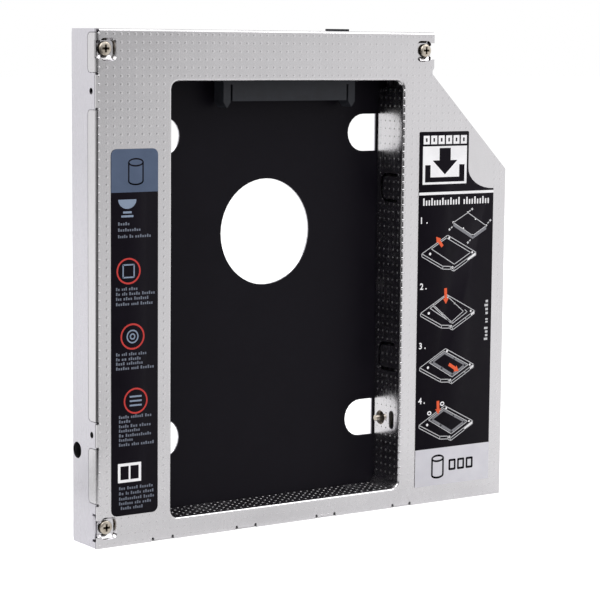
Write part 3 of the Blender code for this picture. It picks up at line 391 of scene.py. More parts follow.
def contact_gold():
    """Thin gold plating of uneven depth."""
    tree = Tree("gold_plating")
    clouds = tree.noise(tree.place, 1500.0, 3.0, 0.6)
    patches = tree.mottle(clouds)
    tree.set(
        Base_Color=tree.blend(patches, (0.80, 0.55, 0.20), (0.90, 0.66, 0.30)),
        Metallic=1.0,
        Roughness=tree.mottle(clouds, 0.20, 0.34),
    )
    return tree.material


def screw_nickel(name, recess=None):
    """Warm nickel plating with turning marks and a little grime, and painted shade that darkens it between
    two depths of a recess.
    """
    tree = Tree(name)
    marks = tree.noise(tree.place, 9000.0, 3.0, 0.6)
    grime = tree.noise(tree.place, 900.0, 4.0, 0.6)
    tint = tree.blend(tree.spread(grime, 0.35, 0.75, 0.0, 1.0), (0.62, 0.565, 0.49), (0.45, 0.39, 0.32))
    if recess:
        # Painted shade: the nickel turns near black with depth, standing for the shade inside the recess
        depth = tree.spread(tree.axis("Y"), *recess, 0.0, 1.0)
        tint = tree.blend(depth, tint, (0.045, 0.034, 0.022))
    tree.set(
        Base_Color=tint,
        Metallic=1.0,
        Roughness=tree.mottle(grime, 0.24, 0.42),
        Normal=tree.bump(marks, 0.2, 0.00003),
    )
    return tree.material


def laminate(name, colour):
    """Printed and laminated label: a colour field under a satin film with tiny waves."""
    tree = Tree(name)
    waves = tree.noise(tree.place, 240.0, 3.0, 0.5)
    grain = tree.noise(tree.place, 6000.0, 2.0, 0.5)
    light = tuple(1.12 * channel for channel in colour)
    tree.set(
        Base_Color=tree.blend(tree.mottle(waves), colour, light),
        Roughness=tree.mottle(waves, 0.34, 0.44),
        Specular_IOR_Level=0.04,
        Normal=tree.bump(tree.maths("ADD", waves, grain), 0.15, 0.00002),
    )
    return tree.material


def silver_film():
    """Unprinted silver polyester of the label, a little smoother and bluer than the sheet."""
    tree = Tree("silver_polyester")
    waves = tree.noise(tree.place, 200.0, 3.0, 0.5)
    grain = tree.noise(tree.stretched(5000, 5000, 300), 1.0, 3.0, 0.5)
    tree.set(
        Base_Color=tree.blend(tree.mottle(waves), (0.62, 0.61, 0.66), (0.68, 0.67, 0.71)),
        Metallic=1.0,
        Roughness=tree.mottle(grain, 0.34, 0.44),
        Normal=tree.bump(grain, 0.1, 0.00002),
    )
    return tree.material


DIMPLED = rolled_metal("dimpled_sheet", (0.70, 0.687, 0.705), 0.22, 0.16)
SOFTENED = rolled_metal("dimpled_sheet_in_bay", (0.70, 0.687, 0.705), 0.34, 0.04)
FINISHES = {
    "dimpled_metal": DIMPLED,
    "plain_metal": rolled_metal("plain_sheet", (0.68, 0.665, 0.71), 0.28, 0.12),
    "black_film": satin_film(),
    "board_laminate": board_laminate(),
    "dark_plastic": moulded_plastic(),
    "contact_gold": contact_gold(),
    "screw_nickel": screw_nickel("nickel_plating"),
    "label_black": laminate("label_black_ink", (0.0074, 0.0060, 0.0094)),
}
INKS = {
    "white": laminate("label_white_ink", (0.87, 0.86, 0.88)),
    "line": laminate("label_line_ink", (0.56, 0.56, 0.58)),
    "dim": laminate("label_dim_ink", (0.22, 0.22, 0.24)),
    "grey": laminate("label_grey_ink", (0.145, 0.16, 0.20)),
    "slate": laminate("label_slate_ink", (0.082, 0.108, 0.168)),
    "pale": laminate("label_pale_ink", (0.22, 0.27, 0.36)),
    "red": laminate("label_red_ink", (0.50, 0.050, 0.045)),
    "orange": laminate("label_orange_ink", (0.76, 0.120, 0.050)),
    "black": FINISHES["label_black"],
    "silver": silver_film(),
    # Fully dark nickel, for the painted shade over the cover screws' cross recesses
    "recess": screw_nickel("nickel_painted_recess_shade", PAINTED_SHADE_THROUGHOUT),
}


def dress_nodes():
    """Gives each CAD node the finish of its slot and smooth bends."""
    slots = {part["node"]: part["material_slot"] for part in frame["record"]["subparts"]}
    # The cover screws get nickel with painted shade in their cross recess
    recess_shaded = screw_nickel("nickel_plating_recessed", SCREW_RECESS_SHADE)
    for name, obj in NODES.items():
        obj.data.materials.clear()
        obj.data.materials.append(recess_shaded if name.startswith("cover_screw") else FINISHES[slots[name]])
        smooth_bends(obj)


def smooth_bends(obj):
    """Shades folds and turned faces smoothly, with sharper edges kept."""
    custom = obj.data.attributes.get("custom_normal")
    if custom:
        obj.data.attributes.remove(custom)
    obj.data.shade_smooth()
    weld = obj.modifiers.new("weld", "WELD")
    weld.merge_threshold = WELD
    split = obj.modifiers.new("sharp edges", "EDGE_SPLIT")
    split.split_angle = BEND_SHARP
    split.use_edge_sharp = False
    level = obj.modifiers.new("flat faces", "WEIGHTED_NORMAL")
    level.weight = 100
    level.keep_sharp = False


# New pieces


def new_object(name, data):
    """A new object in the scene."""
    obj = bpy.data.objects.new(name, data)
    bpy.context.scene.collection.objects.link(obj)
    return obj


def add_piece(name, mesh, material):
    """A new piece of the part's one body."""
    mesh.materials.append(material)
    piece = new_object(name, mesh)
    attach(piece, "root")
    return piece


def merge(mesh):
    """Joins the vertices that lie on each other, and turns the faces outwards."""
    bm = bmesh.new()
    bm.from_mesh(mesh)
    bmesh.ops.remove_doubles(bm, verts=bm.verts, dist=WELD)
    bmesh.ops.recalc_face_normals(bm, faces=bm.faces)
    bm.to_mesh(mesh)
    bm.free()


# Embossed dots


def dot_template():
    """A low dome about the origin that rises along Z, with a sunk flat underside."""
    rings = [(1.0, -DOT_SINK), *((share, rise * DOT_HEIGHT) for share, rise in DOT_RINGS)]
    verts = []
    for share, height in rings:
        for side in range(DOT_SIDES):
            angle = 2 * math.pi * side / DOT_SIDES
            radius = share * DOT_RADIUS
            verts.append(Vector((radius * math.cos(angle), radius * math.sin(angle), height)))
    verts.append(Vector((0, 0, DOT_HEIGHT)))
    faces = [tuple(range(DOT_SIDES - 1, -1, -1))]
    for ring in range(len(rings)):
        for side in range(DOT_SIDES):
            near = ring * DOT_SIDES + side
            next_near = ring * DOT_SIDES + (side + 1) % DOT_SIDES
            if ring == len(rings) - 1:
                faces.append((near, next_near, len(verts) - 1))
            else:
                faces.append((near, next_near, next_near + DOT_SIDES, near + DOT_SIDES))
    return verts, faces


def dots_mesh(name, places, rise, width):
    """One mesh of domes at the places, each a point and the direction that it rises in."""
    verts, faces = [], []
    template, shape_faces = dot_template()
    shape = [
        Vector((vert.x * width, vert.y * width, vert.z * (rise if vert.z > 0 else 1.0)))
        for vert in template
    ]
    for point, normal in places:
        turn = Vector((0, 0, 1)).rotation_difference(normal).to_matrix()
        base = len(verts)
        verts += [point + turn @ vert for vert in shape]
        faces += [tuple(base + corner for corner in face) for face in shape_faces]
    mesh = bpy.data.meshes.new(name)
    mesh.from_pydata(verts, [], faces)
    mesh.shade_smooth()
    mesh.set_sharp_from_angle(angle=DOT_SHARP)
    return mesh


def surface_of(name):
    """A search tree over the triangles of a CAD node."""
    bm = bmesh.new()
    bm.from_mesh(NODES[name].data)
    tree = BVHTree.FromBMesh(bm)
    bm.free()
    return tree


def struck(cover, start, direction, level, across, error):
    """The mean normal where a dot's centre and rim strike the sheet, or None if one of them misses it."""
    probes = [Vector((0, 0, 0))]
    for side in range(PROBE_RAYS):
        angle = 2 * math.pi * side / PROBE_RAYS
        probes.append((across[0] * math.cos(angle) + across[1] * math.sin(angle)) * DOT_RADIUS)
    total = Vector((0, 0, 0))
    for probe in probes:
        hit, normal, _, _ = cover.ray_cast(start + probe, direction)
        if hit is None or abs((hit - start).dot(direction) - level) > error:
            return None
        total += normal if normal.dot(direction) < 0 else -normal
    return total.normalized()


def flat_hit(cover, start, direction, level, across):
    """Whether a dot's whole foot strikes the sheet where it is flat."""
    normal = struck(cover, start, direction, level, across, DOT_LEVEL_ERROR)
    return normal is not None and -normal.dot(direction) > DOT_FLATNESS


def grid(offset, start, end):
    """The places of the embossing rows or columns between two ends, from the offset of the first one."""
    first = math.ceil((start - offset) / DOT_PITCH)
    last = math.floor((end - offset) / DOT_PITCH)
    return [offset + DOT_PITCH * step for step in range(first, last + 1)]


def face_dots(cover, blocked):
    """Rows of dots where no label covers the open face: those on its flat, then those on its bends."""
    low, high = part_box("top_cover")
    level = low.y
    start_y = level - PROBE_REACH
    direction = Vector((0, 1, 0))
    across = (Vector((1, 0, 0)), Vector((0, 0, 1)))
    flat = []
    bent = bend_column(cover, low.x + LEFT_BEND_COLUMN, 0, high.z)
    for x in grid(FIRST_COLUMN, DOT_PITCH, high.x - low.x):
        for z in grid(FIRST_ROW, 0, high.z - low.z):
            start = Vector((low.x + x, start_y, z))
            if any(inside(start, box) for box in blocked):
                continue
            if flat_hit(cover, start, direction, level - start_y, across):
                flat.append((Vector((start.x, level, z)), -direction))
                continue
            normal = struck(cover, start, direction, level - start_y, across, BEND_LEVEL_ERROR)
            if normal is not None and abs(normal.z) < BEND_TILT:
                bent.append((cover.ray_cast(start, direction)[0], normal))
    return flat, bent


def bend_column(cover, x, foot, head):
    """A column of dots down an upright bend of the cover at x."""
    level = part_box("top_cover")[0].y
    places = []
    for z in grid(FIRST_ROW, foot, head):
        hit, normal, _, _ = cover.ray_cast(Vector((x, level - PROBE_REACH, z)), Vector((0, 1, 0)))
        if hit is not None and hit.y - level < BEND_DEPTH and abs(normal.z) < BEND_TILT:
            places.append((hit, normal if normal.y < 0 else -normal))
    return places


def inside(point, box):
    """Whether a point of the face lies in a box, seen from the front."""
    low, high = box
    return low.x < point.x < high.x and low.z < point.z < high.z


def wall_dots(cover, x, normal):
    """Rows of dots on a side wall of the bay, where no hole or slot cuts it."""
    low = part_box("top_cover")[0]
    start_x = x + PROBE_REACH * normal.x
    across = (Vector((0, 1, 0)), Vector((0, 0, 1)))
    places = []
    for row in range(WALL_DOT_ROWS):
        y = low.y + WALL_DOT_FIRST + row * DOT_PITCH
        for z in grid(FIRST_ROW, BAY_FRONT, BAY_REAR):
            start = Vector((start_x, y, z))
            if flat_hit(cover, start, -normal, PROBE_REACH, across):
                places.append((Vector((x, y, z)), normal))
    return places


def front_wall_dots(cover):
    """Rows of dots on the wall at the foot of the bay."""
    low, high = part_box("top_cover")
    normal = Vector((0, 0, 1))
    across = (Vector((1, 0, 0)), Vector((0, 1, 0)))
    places = []
    for row in range(WALL_DOT_ROWS):
        y = low.y + WALL_DOT_FIRST + row * DOT_PITCH
        for x in grid(FIRST_COLUMN, 0, high.x - low.x):
            start = Vector((low.x + x, y, BAY_FRONT + PROBE_REACH))
            if flat_hit(cover, start, -normal, PROBE_REACH, across):
                places.append((Vector((start.x, y, BAY_FRONT)), normal))
    return places


def emboss():
    """All the dots of the cover, a piece for each of its faces."""
    cover = surface_of("top_cover")
    flat, bent = face_dots(cover, [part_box("left_label"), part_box("guide_label")])
    window = bend_column(cover, BAY_RIGHT + BAY_BEND_COLUMN, BAY_FRONT + DOT_PITCH, BAY_REAR - DOT_PITCH)
    left_wall = wall_dots(cover, BAY_LEFT, Vector((1, 0, 0)))
    right_wall = wall_dots(cover, BAY_RIGHT, Vector((-1, 0, 0)))
    groups = {
        "face_dots": (flat, 1.0, 1.0),
        "bend_dots": (bent, BEND_DOT_RISE, BEND_DOT_WIDTH),
        "window_bend_dots": (window, WINDOW_DOT_RISE, 1.0),
        "left_wall_dots": (left_wall, SIDE_WALL_DOT_RISE, WALL_DOT_WIDTH),
        "right_wall_dots": (right_wall, SIDE_WALL_DOT_RISE, WALL_DOT_WIDTH),
        "front_wall_dots": (front_wall_dots(cover), FRONT_WALL_DOT_RISE, WALL_DOT_WIDTH),
    }
    for name, (places, rise, width) in groups.items():
        finish = SOFTENED if "wall" in name else DIMPLED
        add_piece(name, dots_mesh(name, places, rise, width), finish)


def cover_screws():
    """The box of each cover screw, in the order of their names."""
    return [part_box(name) for name in sorted(NODES) if name.startswith("cover_screw")]


def pocket_slopes():
    """The drawn slope that each screw pocket has at its lower side."""
    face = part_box("top_cover")[0].y
    verts, faces = [], []
    for low, high in cover_screws():
        centre = (low + high) / 2
        inward = 1 if centre.x < 0 else -1
        foot = centre.z - POCKET_HEIGHT / 2
        ends = sorted((centre.x - inward * SLOPE_START, centre.x + inward * SLOPE_END))
        base = len(verts)
        for step in range(SLOPE_STEPS + 1):
            share = step / SLOPE_STEPS
            height = foot + SLOPE_HEIGHTS[0] + share * (SLOPE_HEIGHTS[1] - SLOPE_HEIGHTS[0])
            bowed = share + SLOPE_SAG * share * (1 - share)
            depth = face + SLOPE_DEPTHS[0] + bowed * (SLOPE_DEPTHS[1] - SLOPE_DEPTHS[0])
            verts += [(x, y, height) for y in (depth, depth + SLOPE_SHEET) for x in ends]
        for step in range(SLOPE_STEPS):
            near, far = base + 4 * step, base + 4 * step + 4
            for a, b in ((0, 1), (1, 3), (3, 2), (2, 0)):
                faces.append((near + a, near + b, far + b, far + a))
        last = base + 4 * SLOPE_STEPS
        faces += [(base, base + 2, base + 3, base + 1), (last, last + 1, last + 3, last + 2)]
    mesh = bpy.data.meshes.new("pocket_slopes")
    mesh.from_pydata(verts, [], faces)
    mesh.shade_smooth()
    mesh.set_sharp_from_angle(angle=BEND_SHARP)
    add_piece("pocket_slopes", mesh, SOFTENED)


def cross_recesses():
    """Painted shade over the cross recesses: dark shapes of four arms that widen into a hub, just in front of
    the screw heads.
    """
    front = min(low.y for low, _ in cover_screws()) / MM
    ink = Ink((front - CROSS_LIFT) * MM, 1)
    arm, half = CROSS_SPAN / 2 / MM, CROSS_WIDTH / 2 / MM
    cross, quarter = [], [(-half, -arm), (half, -arm), (half, -half)]
    for _ in range(4):
        cross += quarter
        quarter = [(-across, along) for along, across in quarter]
    for low, high in cover_screws():
        x, z = (low.x + high.x) / 2 / MM, (low.z + high.z) / 2 / MM
        ink.fill([(x + along, z + across) for along, across in cross])
        ink.disc((x, z), CROSS_HUB / MM, 12)
    ink.add("cover_screw_recess_shade", "recess", "screw_nickel")


def lock_screw(side, inward):
    """A threaded grub screw whose long point reaches into the bay, in place of the plain one."""
    node = "drive_lock_screw_" + side
    low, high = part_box(node)
    centre = (low + high) / 2
    tip = high.x if inward > 0 else low.x
    radius = (high.z - low.z) / 2
    length = high.x - low.x
    profile = [(-length, 0.0), (-length, radius - LOCK_THREAD)]
    pitch = (length + LOCK_POINT[0][0]) / LOCK_THREAD_TURNS
    for turn in range(LOCK_THREAD_TURNS):
        start = turn * pitch - length
        profile += [
            (start + THREAD_RISE * pitch, radius - LOCK_THREAD),
            (start + THREAD_CREST * pitch, radius),
        ]
    profile += LOCK_POINT
    verts, faces = [], []
    for along, out in profile:
        x = tip + inward * along
        for step in range(LOCK_SIDES):
            angle = 2 * math.pi * step / LOCK_SIDES
            verts.append((x, centre.y + out * math.cos(angle), centre.z + out * math.sin(angle)))
    for ring in range(len(profile) - 1):
        for step in range(LOCK_SIDES):
            a, b = ring * LOCK_SIDES + step, ring * LOCK_SIDES + (step + 1) % LOCK_SIDES
            faces.append((a, b, b + LOCK_SIDES, a + LOCK_SIDES))
    mesh = bpy.data.meshes.new("lock_screw_" + side)
    mesh.from_pydata(verts, [], faces)
    merge(mesh)
    mesh.shade_smooth()
    mesh.set_sharp_from_angle(angle=THREAD_SHARP)
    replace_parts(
        add_piece("lock_screw_with_point_" + side, mesh, FINISHES["screw_nickel"]), node
    )


emboss()
pocket_slopes()
lock_screw("left", 1)
lock_screw("right", -1)
dress_nodes()


# Labels


def thinned_copy(node):
    """The CAD label with its front set back a little, so that the ink on it stays inside the CAD box."""
    mesh = NODES[node].data.copy()
    mesh.materials.clear()
    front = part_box(node)[0].y
    for vert in mesh.vertices:
        if abs(vert.co.y - front) < LABEL_THINNED:
            vert.co.y = front + LABEL_THINNED
    merge(mesh)
    return mesh, front


class Ink:
    """Flat shapes of one ink on a label, each a thin prism. Points are (X, Z) in millimetres."""

    def __init__(self, front, layer=0):
        self.bm = bmesh.new()
        self.front = front + INK_STEP * (1 - layer)
        self.back = front + LABEL_THINNED + INK_STEP

    def thicken(self, faces):
        """Turns faces at the front into a prism. An extrusion would vary the order of its faces."""
        depth = Vector((0, self.back - self.front, 0))
        corners = dict.fromkeys(vert for face in faces for vert in face.verts)
        back = {vert: self.bm.verts.new(vert.co + depth) for vert in corners}
        for face in faces:
            self.bm.faces.new([back[vert] for vert in face.verts])
            for edge in face.edges:
                if len(edge.link_faces) == 1:
                    start, end = edge.verts
                    self.bm.faces.new((start, end, back[end], back[start]))

    def fill(self, *outlines):
        """An outline, and any holes in it."""
        edges = []
        for points in outlines:
            verts = [self.bm.verts.new((x * MM, self.front, z * MM)) for x, z in points]
            edges += [self.bm.edges.new((vert, verts[index - 1])) for index, vert in enumerate(verts)]
        filled = bmesh.ops.triangle_fill(self.bm, use_beauty=True, use_dissolve=False, edges=edges)
        self.thicken([item for item in filled["geom"] if isinstance(item, bmesh.types.BMFace)])
        return self

    def bar(self, x, z, width, height):
        """A box whose lower left corner is at (x, z)."""
        return self.fill([(x, z), (x + width, z), (x + width, z + height), (x, z + height)])

    def line(self, start, end, width):
        """A straight stroke with square ends."""
        (x0, z0), (x1, z1) = start, end
        length = math.hypot(x1 - x0, z1 - z0)
        side = ((z0 - z1) / length * width / 2, (x1 - x0) / length * width / 2)
        self.fill([
            (x0 - side[0], z0 - side[1]),
            (x1 - side[0], z1 - side[1]),
            (x1 + side[0], z1 + side[1]),
            (x0 + side[0], z0 + side[1]),
        ])

    def stroke(self, points, width, closed=False):
        """Straight strokes from point to point, with a round dot at each joint."""
        ends = points + points[:1] if closed else points
        for start, end in zip(ends, ends[1:]):
            self.line(start, end, width)
        for point in points if closed else points[1:-1]:
            self.disc(point, width / 2, 8)

    def disc(self, centre, radius, sides):
        self.fill(oval(centre, radius, radius, sides))

    def ring(self, centre, radius_x, radius_z, width, sides=40):
        outer = oval(centre, radius_x, radius_z, sides)
        inner = oval(centre, radius_x - width, radius_z - width, sides)
        self.fill(outer, inner)

    def words(self, x, z, lengths, height, gap, pitch=0.62, weight=0.64, upright=False):
        """A line of print, reduced to plain blocks in groups as long as its words."""
        place = 0
        for length in lengths:
            count = max(1, round(length / pitch))
            for block in range(count):
                tall = height * BLOCK_HEIGHTS[(block + round(7 * place)) % len(BLOCK_HEIGHTS)]
                step = place + block * length / count
                width = weight * length / count
                if upright:
                    self.bar(x - tall, z + step, tall, width)
                else:
                    self.bar(x + step, z, width, tall)
            place += length + gap

    def numeral(self, text, x, z, height):
        """A plain numeral whose lower left corner is at (x, z)."""
        curve = bpy.data.curves.new("numeral", "FONT")
        curve.body = text
        curve.resolution_u = 3
        curve.offset = NUMERAL_WEIGHT
        holder = new_object("numeral", curve)
        graph = bpy.context.evaluated_depsgraph_get()
        flat = bpy.data.meshes.new_from_object(holder.evaluated_get(graph))
        bpy.data.objects.remove(holder)
        low = [min(vert.co[axis] for vert in flat.vertices) for axis in (0, 1)]
        high = max(vert.co.y for vert in flat.vertices)
        scale = height / (high - low[1])
        shape = bmesh.new()
        shape.from_mesh(flat)
        made = {
            vert: self.bm.verts.new((
                (x + (vert.co.x - low[0]) * scale) * MM,
                self.front,
                (z + (vert.co.y - low[1]) * scale) * MM,
            ))
            for vert in shape.verts
        }
        faces = [self.bm.faces.new([made[vert] for vert in face.verts]) for face in shape.faces]
        shape.free()
        bpy.data.meshes.remove(flat)
        self.thicken(faces)

    def add(self, name, ink, slot="label_black"):
        """Makes one piece of all the shapes so far."""
        bmesh.ops.recalc_face_normals(self.bm, faces=self.bm.faces)
        mesh = bpy.data.meshes.new(name)
        self.bm.to_mesh(mesh)
        self.bm.free()
        add_piece(name, mesh, INKS[ink])


def oval(centre, radius_x, radius_z, sides, start=0, end=360):
    """Points round an oval, or round part of one if the angles are given."""
    whole = end - start == 360
    steps = sides if whole else sides + 1
    return [
        (
            centre[0] + radius_x * math.cos(math.radians(start + (end - start) * step / sides)),
            centre[1] + radius_z * math.sin(math.radians(start + (end - start) * step / sides)),
        )
        for step in range(steps)
    ]


def cylinder_sign(ink, left, right, top, foot, squash, width):
    """The outline of an upright cylinder: a full oval on top, two sides and half an oval below."""
    middle, half = (left + right) / 2, (right - left) / 2
    lid, base = top - squash, foot + squash
    ink.ring((middle, lid), half, squash, width, 32)
    under = oval((middle, base), half - width / 2, squash - width / 2, 16, 180, 360)
    ink.stroke([(left + width / 2, lid), *under, (right - width / 2, lid)], width)


def left_label():
    """A slate field with a cylinder, four plain signs, three of them in red rings, and lines of print."""
    mesh, front = thinned_copy("left_label")
    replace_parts(add_piece("left_label_sheet", mesh, INKS["black"]), "left_label")
    low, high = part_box("left_label")
    left, right, top = low.x / MM, high.x / MM, high.z / MM
    corner = LEFT_FIELD_CORNER
    field = [(left, LEFT_FIELD_FOOT), (right, LEFT_FIELD_FOOT)]
    field += oval((right - corner, top - corner), corner, corner, 6, 0, 90)
    field += oval((left + corner, top - corner), corner, corner, 6, 90, 180)
    Ink(front).fill(field).add("left_label_field", "slate")

    sign = Ink(front, 1)
    cylinder_sign(sign, -55.2, -50.8, 95.95, 89.3, 1.05, 0.38)
    sign.add("left_label_cylinder", "black")

    pale = Ink(front)
    pale.fill(oval((-55.4, 85.9), 2.55, 2.3, 18, 180, 360))
    for row, width in enumerate((2.4, 3.4)):
        pale.bar(-55.4 - width / 2, 82.5 - 0.95 * row, width, 0.5)
    pale.stroke([(-56.6, 66.8), (-53.5, 66.8), (-53.5, 69.9), (-56.6, 69.9)], 0.34, closed=True)
    for radius in (0.8, 1.7):
        pale.ring((-53.95, 52.15), radius, radius, 0.34, 20)
    for row in (-1.1, 0.0, 1.1):
        pale.bar(-54.75, 35.9 + row, 3.4, 0.42)
    pale.add("left_label_signs", "pale")

    red = Ink(front)
    for x, z in ((-55.05, 68.35), (-53.95, 52.15), (-53.05, 36.1)):
        red.ring((x, z), 3.4, 3.25, 0.42)
    red.add("left_label_rings", "red")

    white = Ink(front)
    panel = [(-58.1, 15.9), (-51.5, 15.9), (-51.5, 20.7), (-58.1, 20.7)]
    panes = [[(x, 16.6), (x + 2.35, 16.6), (x + 2.35, 20.0), (x, 20.0)] for x in (-57.4, -54.55)]
    white.fill(panel, *panes)
    white.add("left_label_panel", "white")

    print_lines = Ink(front)
    for x, z, lengths in LEFT_LINES:
        print_lines.words(x, z - LEFT_LINE_DROP, lengths, LEFT_LINE_HEIGHT, LEFT_WORD_GAP)
    print_lines.add("left_label_lines", "grey")


def guide_label():
    """A connector sign, four numbered drawings of how a drive goes in, and a silver foot with dark signs."""
    mesh, front = thinned_copy("guide_label")
    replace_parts(add_piece("guide_label_sheet", mesh, INKS["black"]), "guide_label")
    low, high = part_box("guide_label")
    left, right, foot = low.x / MM, high.x / MM, low.z / MM
    Ink(front).bar(left, foot, right - left, SILVER_TOP - foot).add("guide_label_silver", "silver")

    white = Ink(front)
    white.bar(35.3, 86.8, 14.95, 10.2)
    for pad in range(6):
        x = 35.45 + 2.53 * pad
        white.fill(
            [(x, 97.55), (x + 2.05, 97.55), (x + 2.05, 99.85), (x, 99.85)],
            [(x + 0.75, 98.2), (x + 1.3, 98.2), (x + 1.3, 99.2), (x + 0.75, 99.2)],
        )
    white.bar(left, STRIPE_FOOT, right - left, STRIPE_HEIGHT)
    for step, foot_z in enumerate((76.35, 58.6, 42.5, 27.5), 1):
        white.numeral(str(step), 34.95, foot_z, 1.75)
        white.disc((37.0, foot_z + 0.2), 0.22, 8)
    white.add("guide_label_white", "white")

    arrow = Ink(front, 1)
    arrow.fill([
        (40.9, 96.5), (44.7, 96.5), (44.7, 93.2), (47.0, 93.2), (42.8, 89.4), (38.6, 93.2), (40.9, 93.2),
    ])
    arrow.fill([
        (36.1, 92.0), (36.1, 87.4), (49.5, 87.4), (49.5, 92.0),
        (47.7, 92.0), (47.7, 88.7), (37.9, 88.7), (37.9, 92.0),
    ])
    arrow.add("guide_label_arrow_into_tray", "black")

    light = Ink(front)
    light.words(35.6, 81.2, (12.9, 9.3), 1.95, 0.9, pitch=0.9, weight=0.5)
    line, dim = Ink(front), Ink(front)
    line.words(58.6, 43.5, (4.0, 1.5, 4.4), 1.2, 0.8, pitch=0.98, weight=0.6, upright=True)
    for step, corner_place in enumerate(DRAWING_PLACES):
        caddy_drawing(line, light, corner_place, plugged=step in (0, 3))
        if step != 1:
            line.stroke([plan_point(corner_place, *place) for place in BAY_PLAN], DRAWING_LINE, closed=True)
        if step > 1:
            seated_drive(dim, light, corner_place)
    loose_drive(line, dim, light)
    tilted_drive(line, light, DRAWING_PLACES[1])
    for point in ((43.18, 27.0), (38.8, 24.75)):
        light.ring(point, 0.75, 0.62, 0.34, 12)
    line.add("guide_label_drawings", "line")
    light.add("guide_label_drawing_dots", "white")
    dim.add("guide_label_drive_sides", "dim")

    orange = Ink(front, 1)
    red_arrow(orange, (42.4, 70.0), (40.2, 72.7))
    red_arrow(orange, (43.7, 58.6), (43.9, 54.3))
    red_arrow(orange, (45.3, 37.7), (48.7, 35.6))
    red_arrow(orange, (41.7, 27.9), (41.85, 24.2))
    orange.add("guide_label_arrows", "orange")

    dark = Ink(front, 1)
    cylinder_sign(dark, 39.75, 44.1, 13.1, 6.45, 1.05, 0.55)
    for x in (45.75, 48.75, 51.75):
        dark.stroke([(x + 0.3, 8.6), (x + 2.15, 8.6), (x + 2.15, 11.1), (x + 0.3, 11.1)], 0.6, closed=True)
    dark.add("guide_label_dark_signs", "black")


def plan_point(origin, along, across, drop=0.0):
    """A point of the caddy drawing: shares of its depth and width from its left corner, and a drop."""
    x = origin[0] + DRAWING_DEPTH[0] * along + DRAWING_WIDTH[0] * across
    z = origin[1] + DRAWING_DEPTH[1] * along + DRAWING_WIDTH[1] * across
    return (x, z - drop)


def caddy_drawing(line, light, origin, plugged):
    """The caddy in a slanting view: its top, its lower edge, screws and rear connector."""
    outline = [(0, 0), (1, 0), (1, 1), (0.13, 1), (0.13, 0.885), (0, 0.73)]
    line.stroke([plan_point(origin, *place) for place in outline], DRAWING_LINE, closed=True)
    front = [(1, 1), (0.13, 1), (0.13, 0.885), (0, 0.73), (0, 0)]
    line.stroke([plan_point(origin, *place, DRAWING_DROP) for place in front], DRAWING_LINE)
    for place in ((0, 0), *front[:4]):
        line.line(plan_point(origin, *place), plan_point(origin, *place, DRAWING_DROP), DRAWING_LINE)
    for place in ((0.14, 0.16), (0.95, 0.10), (0.93, 0.93), (0.13, 0.95)):
        light.disc(plan_point(origin, *place), 0.30 if place[0] > 0.5 else 0.38, 12)
    end = 0.66 if plugged else 0.86
    light.fill([
        plan_point(origin, 1, 1, 0.1),
        plan_point(origin, 1, 1, DRAWING_DROP),
        plan_point(origin, end, 1, DRAWING_DROP + 0.08),
        plan_point(origin, end, 1, 0.18),
    ])
    line.line(plan_point(origin, 0.66, 1), plan_point(origin, 0.66, 1, DRAWING_DROP), DRAWING_LINE)


def loose_drive(line, dim, light):
    """The drive above the first caddy: a thin box with a screw coming to each corner."""
    left, _, right, near = LOOSE_DRIVE
    line.stroke(list(LOOSE_DRIVE), DRAWING_LINE, closed=True)
    for start, end in ((left, near), (near, right)):
        dim.fill(side_face(start, end))
    for x, z in LOOSE_DRIVE:
        light.disc((x, z + 0.05), 0.32, 12)
    for point in ((53.7, 77.0), (49.5, 74.6)):
        light.disc(point, 0.26, 12)
    for start, end in SCREW_PATHS:
        line.line(start, blend_points(start, end, 0.4), 0.34)
        line.line(blend_points(start, end, 0.6), end, 0.55)


def side_face(start, end):
    """The upright face below an edge of the loose drive, a little clear of its line."""
    top, foot = 0.5 * DRAWING_LINE, 0.95
    (x0, z0), (x1, z1) = start, end
    return [(x0, z0 - top), (x1, z1 - top), (x1, z1 - foot), (x0, z0 - foot)]


def tilted_drive(line, light, origin):
    """The drive let down into the bay at a slant, and what still shows of the bay's edge."""
    drive = [(0.46, 0.05), (0.97, 0.03), (0.79, 0.79), (0.27, 0.84)]
    line.stroke([plan_point(origin, *place) for place in drive], DRAWING_LINE, closed=True)
    line.line(plan_point(origin, 0.42, 0.06), plan_point(origin, 0.27, 0.80, 0.4), DRAWING_LINE)
    for edge in (((0.46, 0.05), (0.31, 0.05), (0.24, 0.90)), ((0.24, 0.90), (0.84, 0.88), (0.86, 0.78))):
        line.stroke([plan_point(origin, *place) for place in edge], DRAWING_LINE)
    for place in (drive[0], drive[3], (0.88, 0.40), (0.36, 0.44)):
        light.disc(plan_point(origin, *place), 0.27, 10)


def seated_drive(dim, light, origin):
    """The drive in its place: the grey of its sides just inside the bay's line, and its screws."""
    outer = [(0.335, 0.075), (0.875, 0.075), (0.875, 0.875), (0.29, 0.875)]
    inner = [(0.41, 0.13), (0.82, 0.13), (0.81, 0.81), (0.37, 0.81)]
    dim.fill(*([plan_point(origin, *place) for place in outline] for outline in (outer, inner)))
    for place in ((0.38, 0.10), (0.82, 0.84), (0.33, 0.84), (0.85, 0.45), (0.35, 0.45)):
        light.disc(plan_point(origin, *place), 0.27, 10)


def blend_points(start, end, share):
    """The point at a share of the way from start to end."""
    return tuple(a + (b - a) * share for a, b in zip(start, end))


def red_arrow(ink, tail, tip):
    """A short arrow with a wide head."""
    length = math.hypot(tip[0] - tail[0], tip[1] - tail[1])
    ahead = ((tip[0] - tail[0]) / length, (tip[1] - tail[1]) / length)
    side = (-ahead[1], ahead[0])

    def point(along, across):
        return tuple(tail[axis] + ahead[axis] * along + side[axis] * across for axis in (0, 1))

    neck = length - 1.5
    ink.fill([
        point(0, -0.45), point(neck, -0.45), point(neck, -0.95), point(length, 0),
        point(neck, 0.95), point(neck, 0.45), point(0, 0.45),
    ])


left_label()
guide_label()
cross_recesses()


# Camera


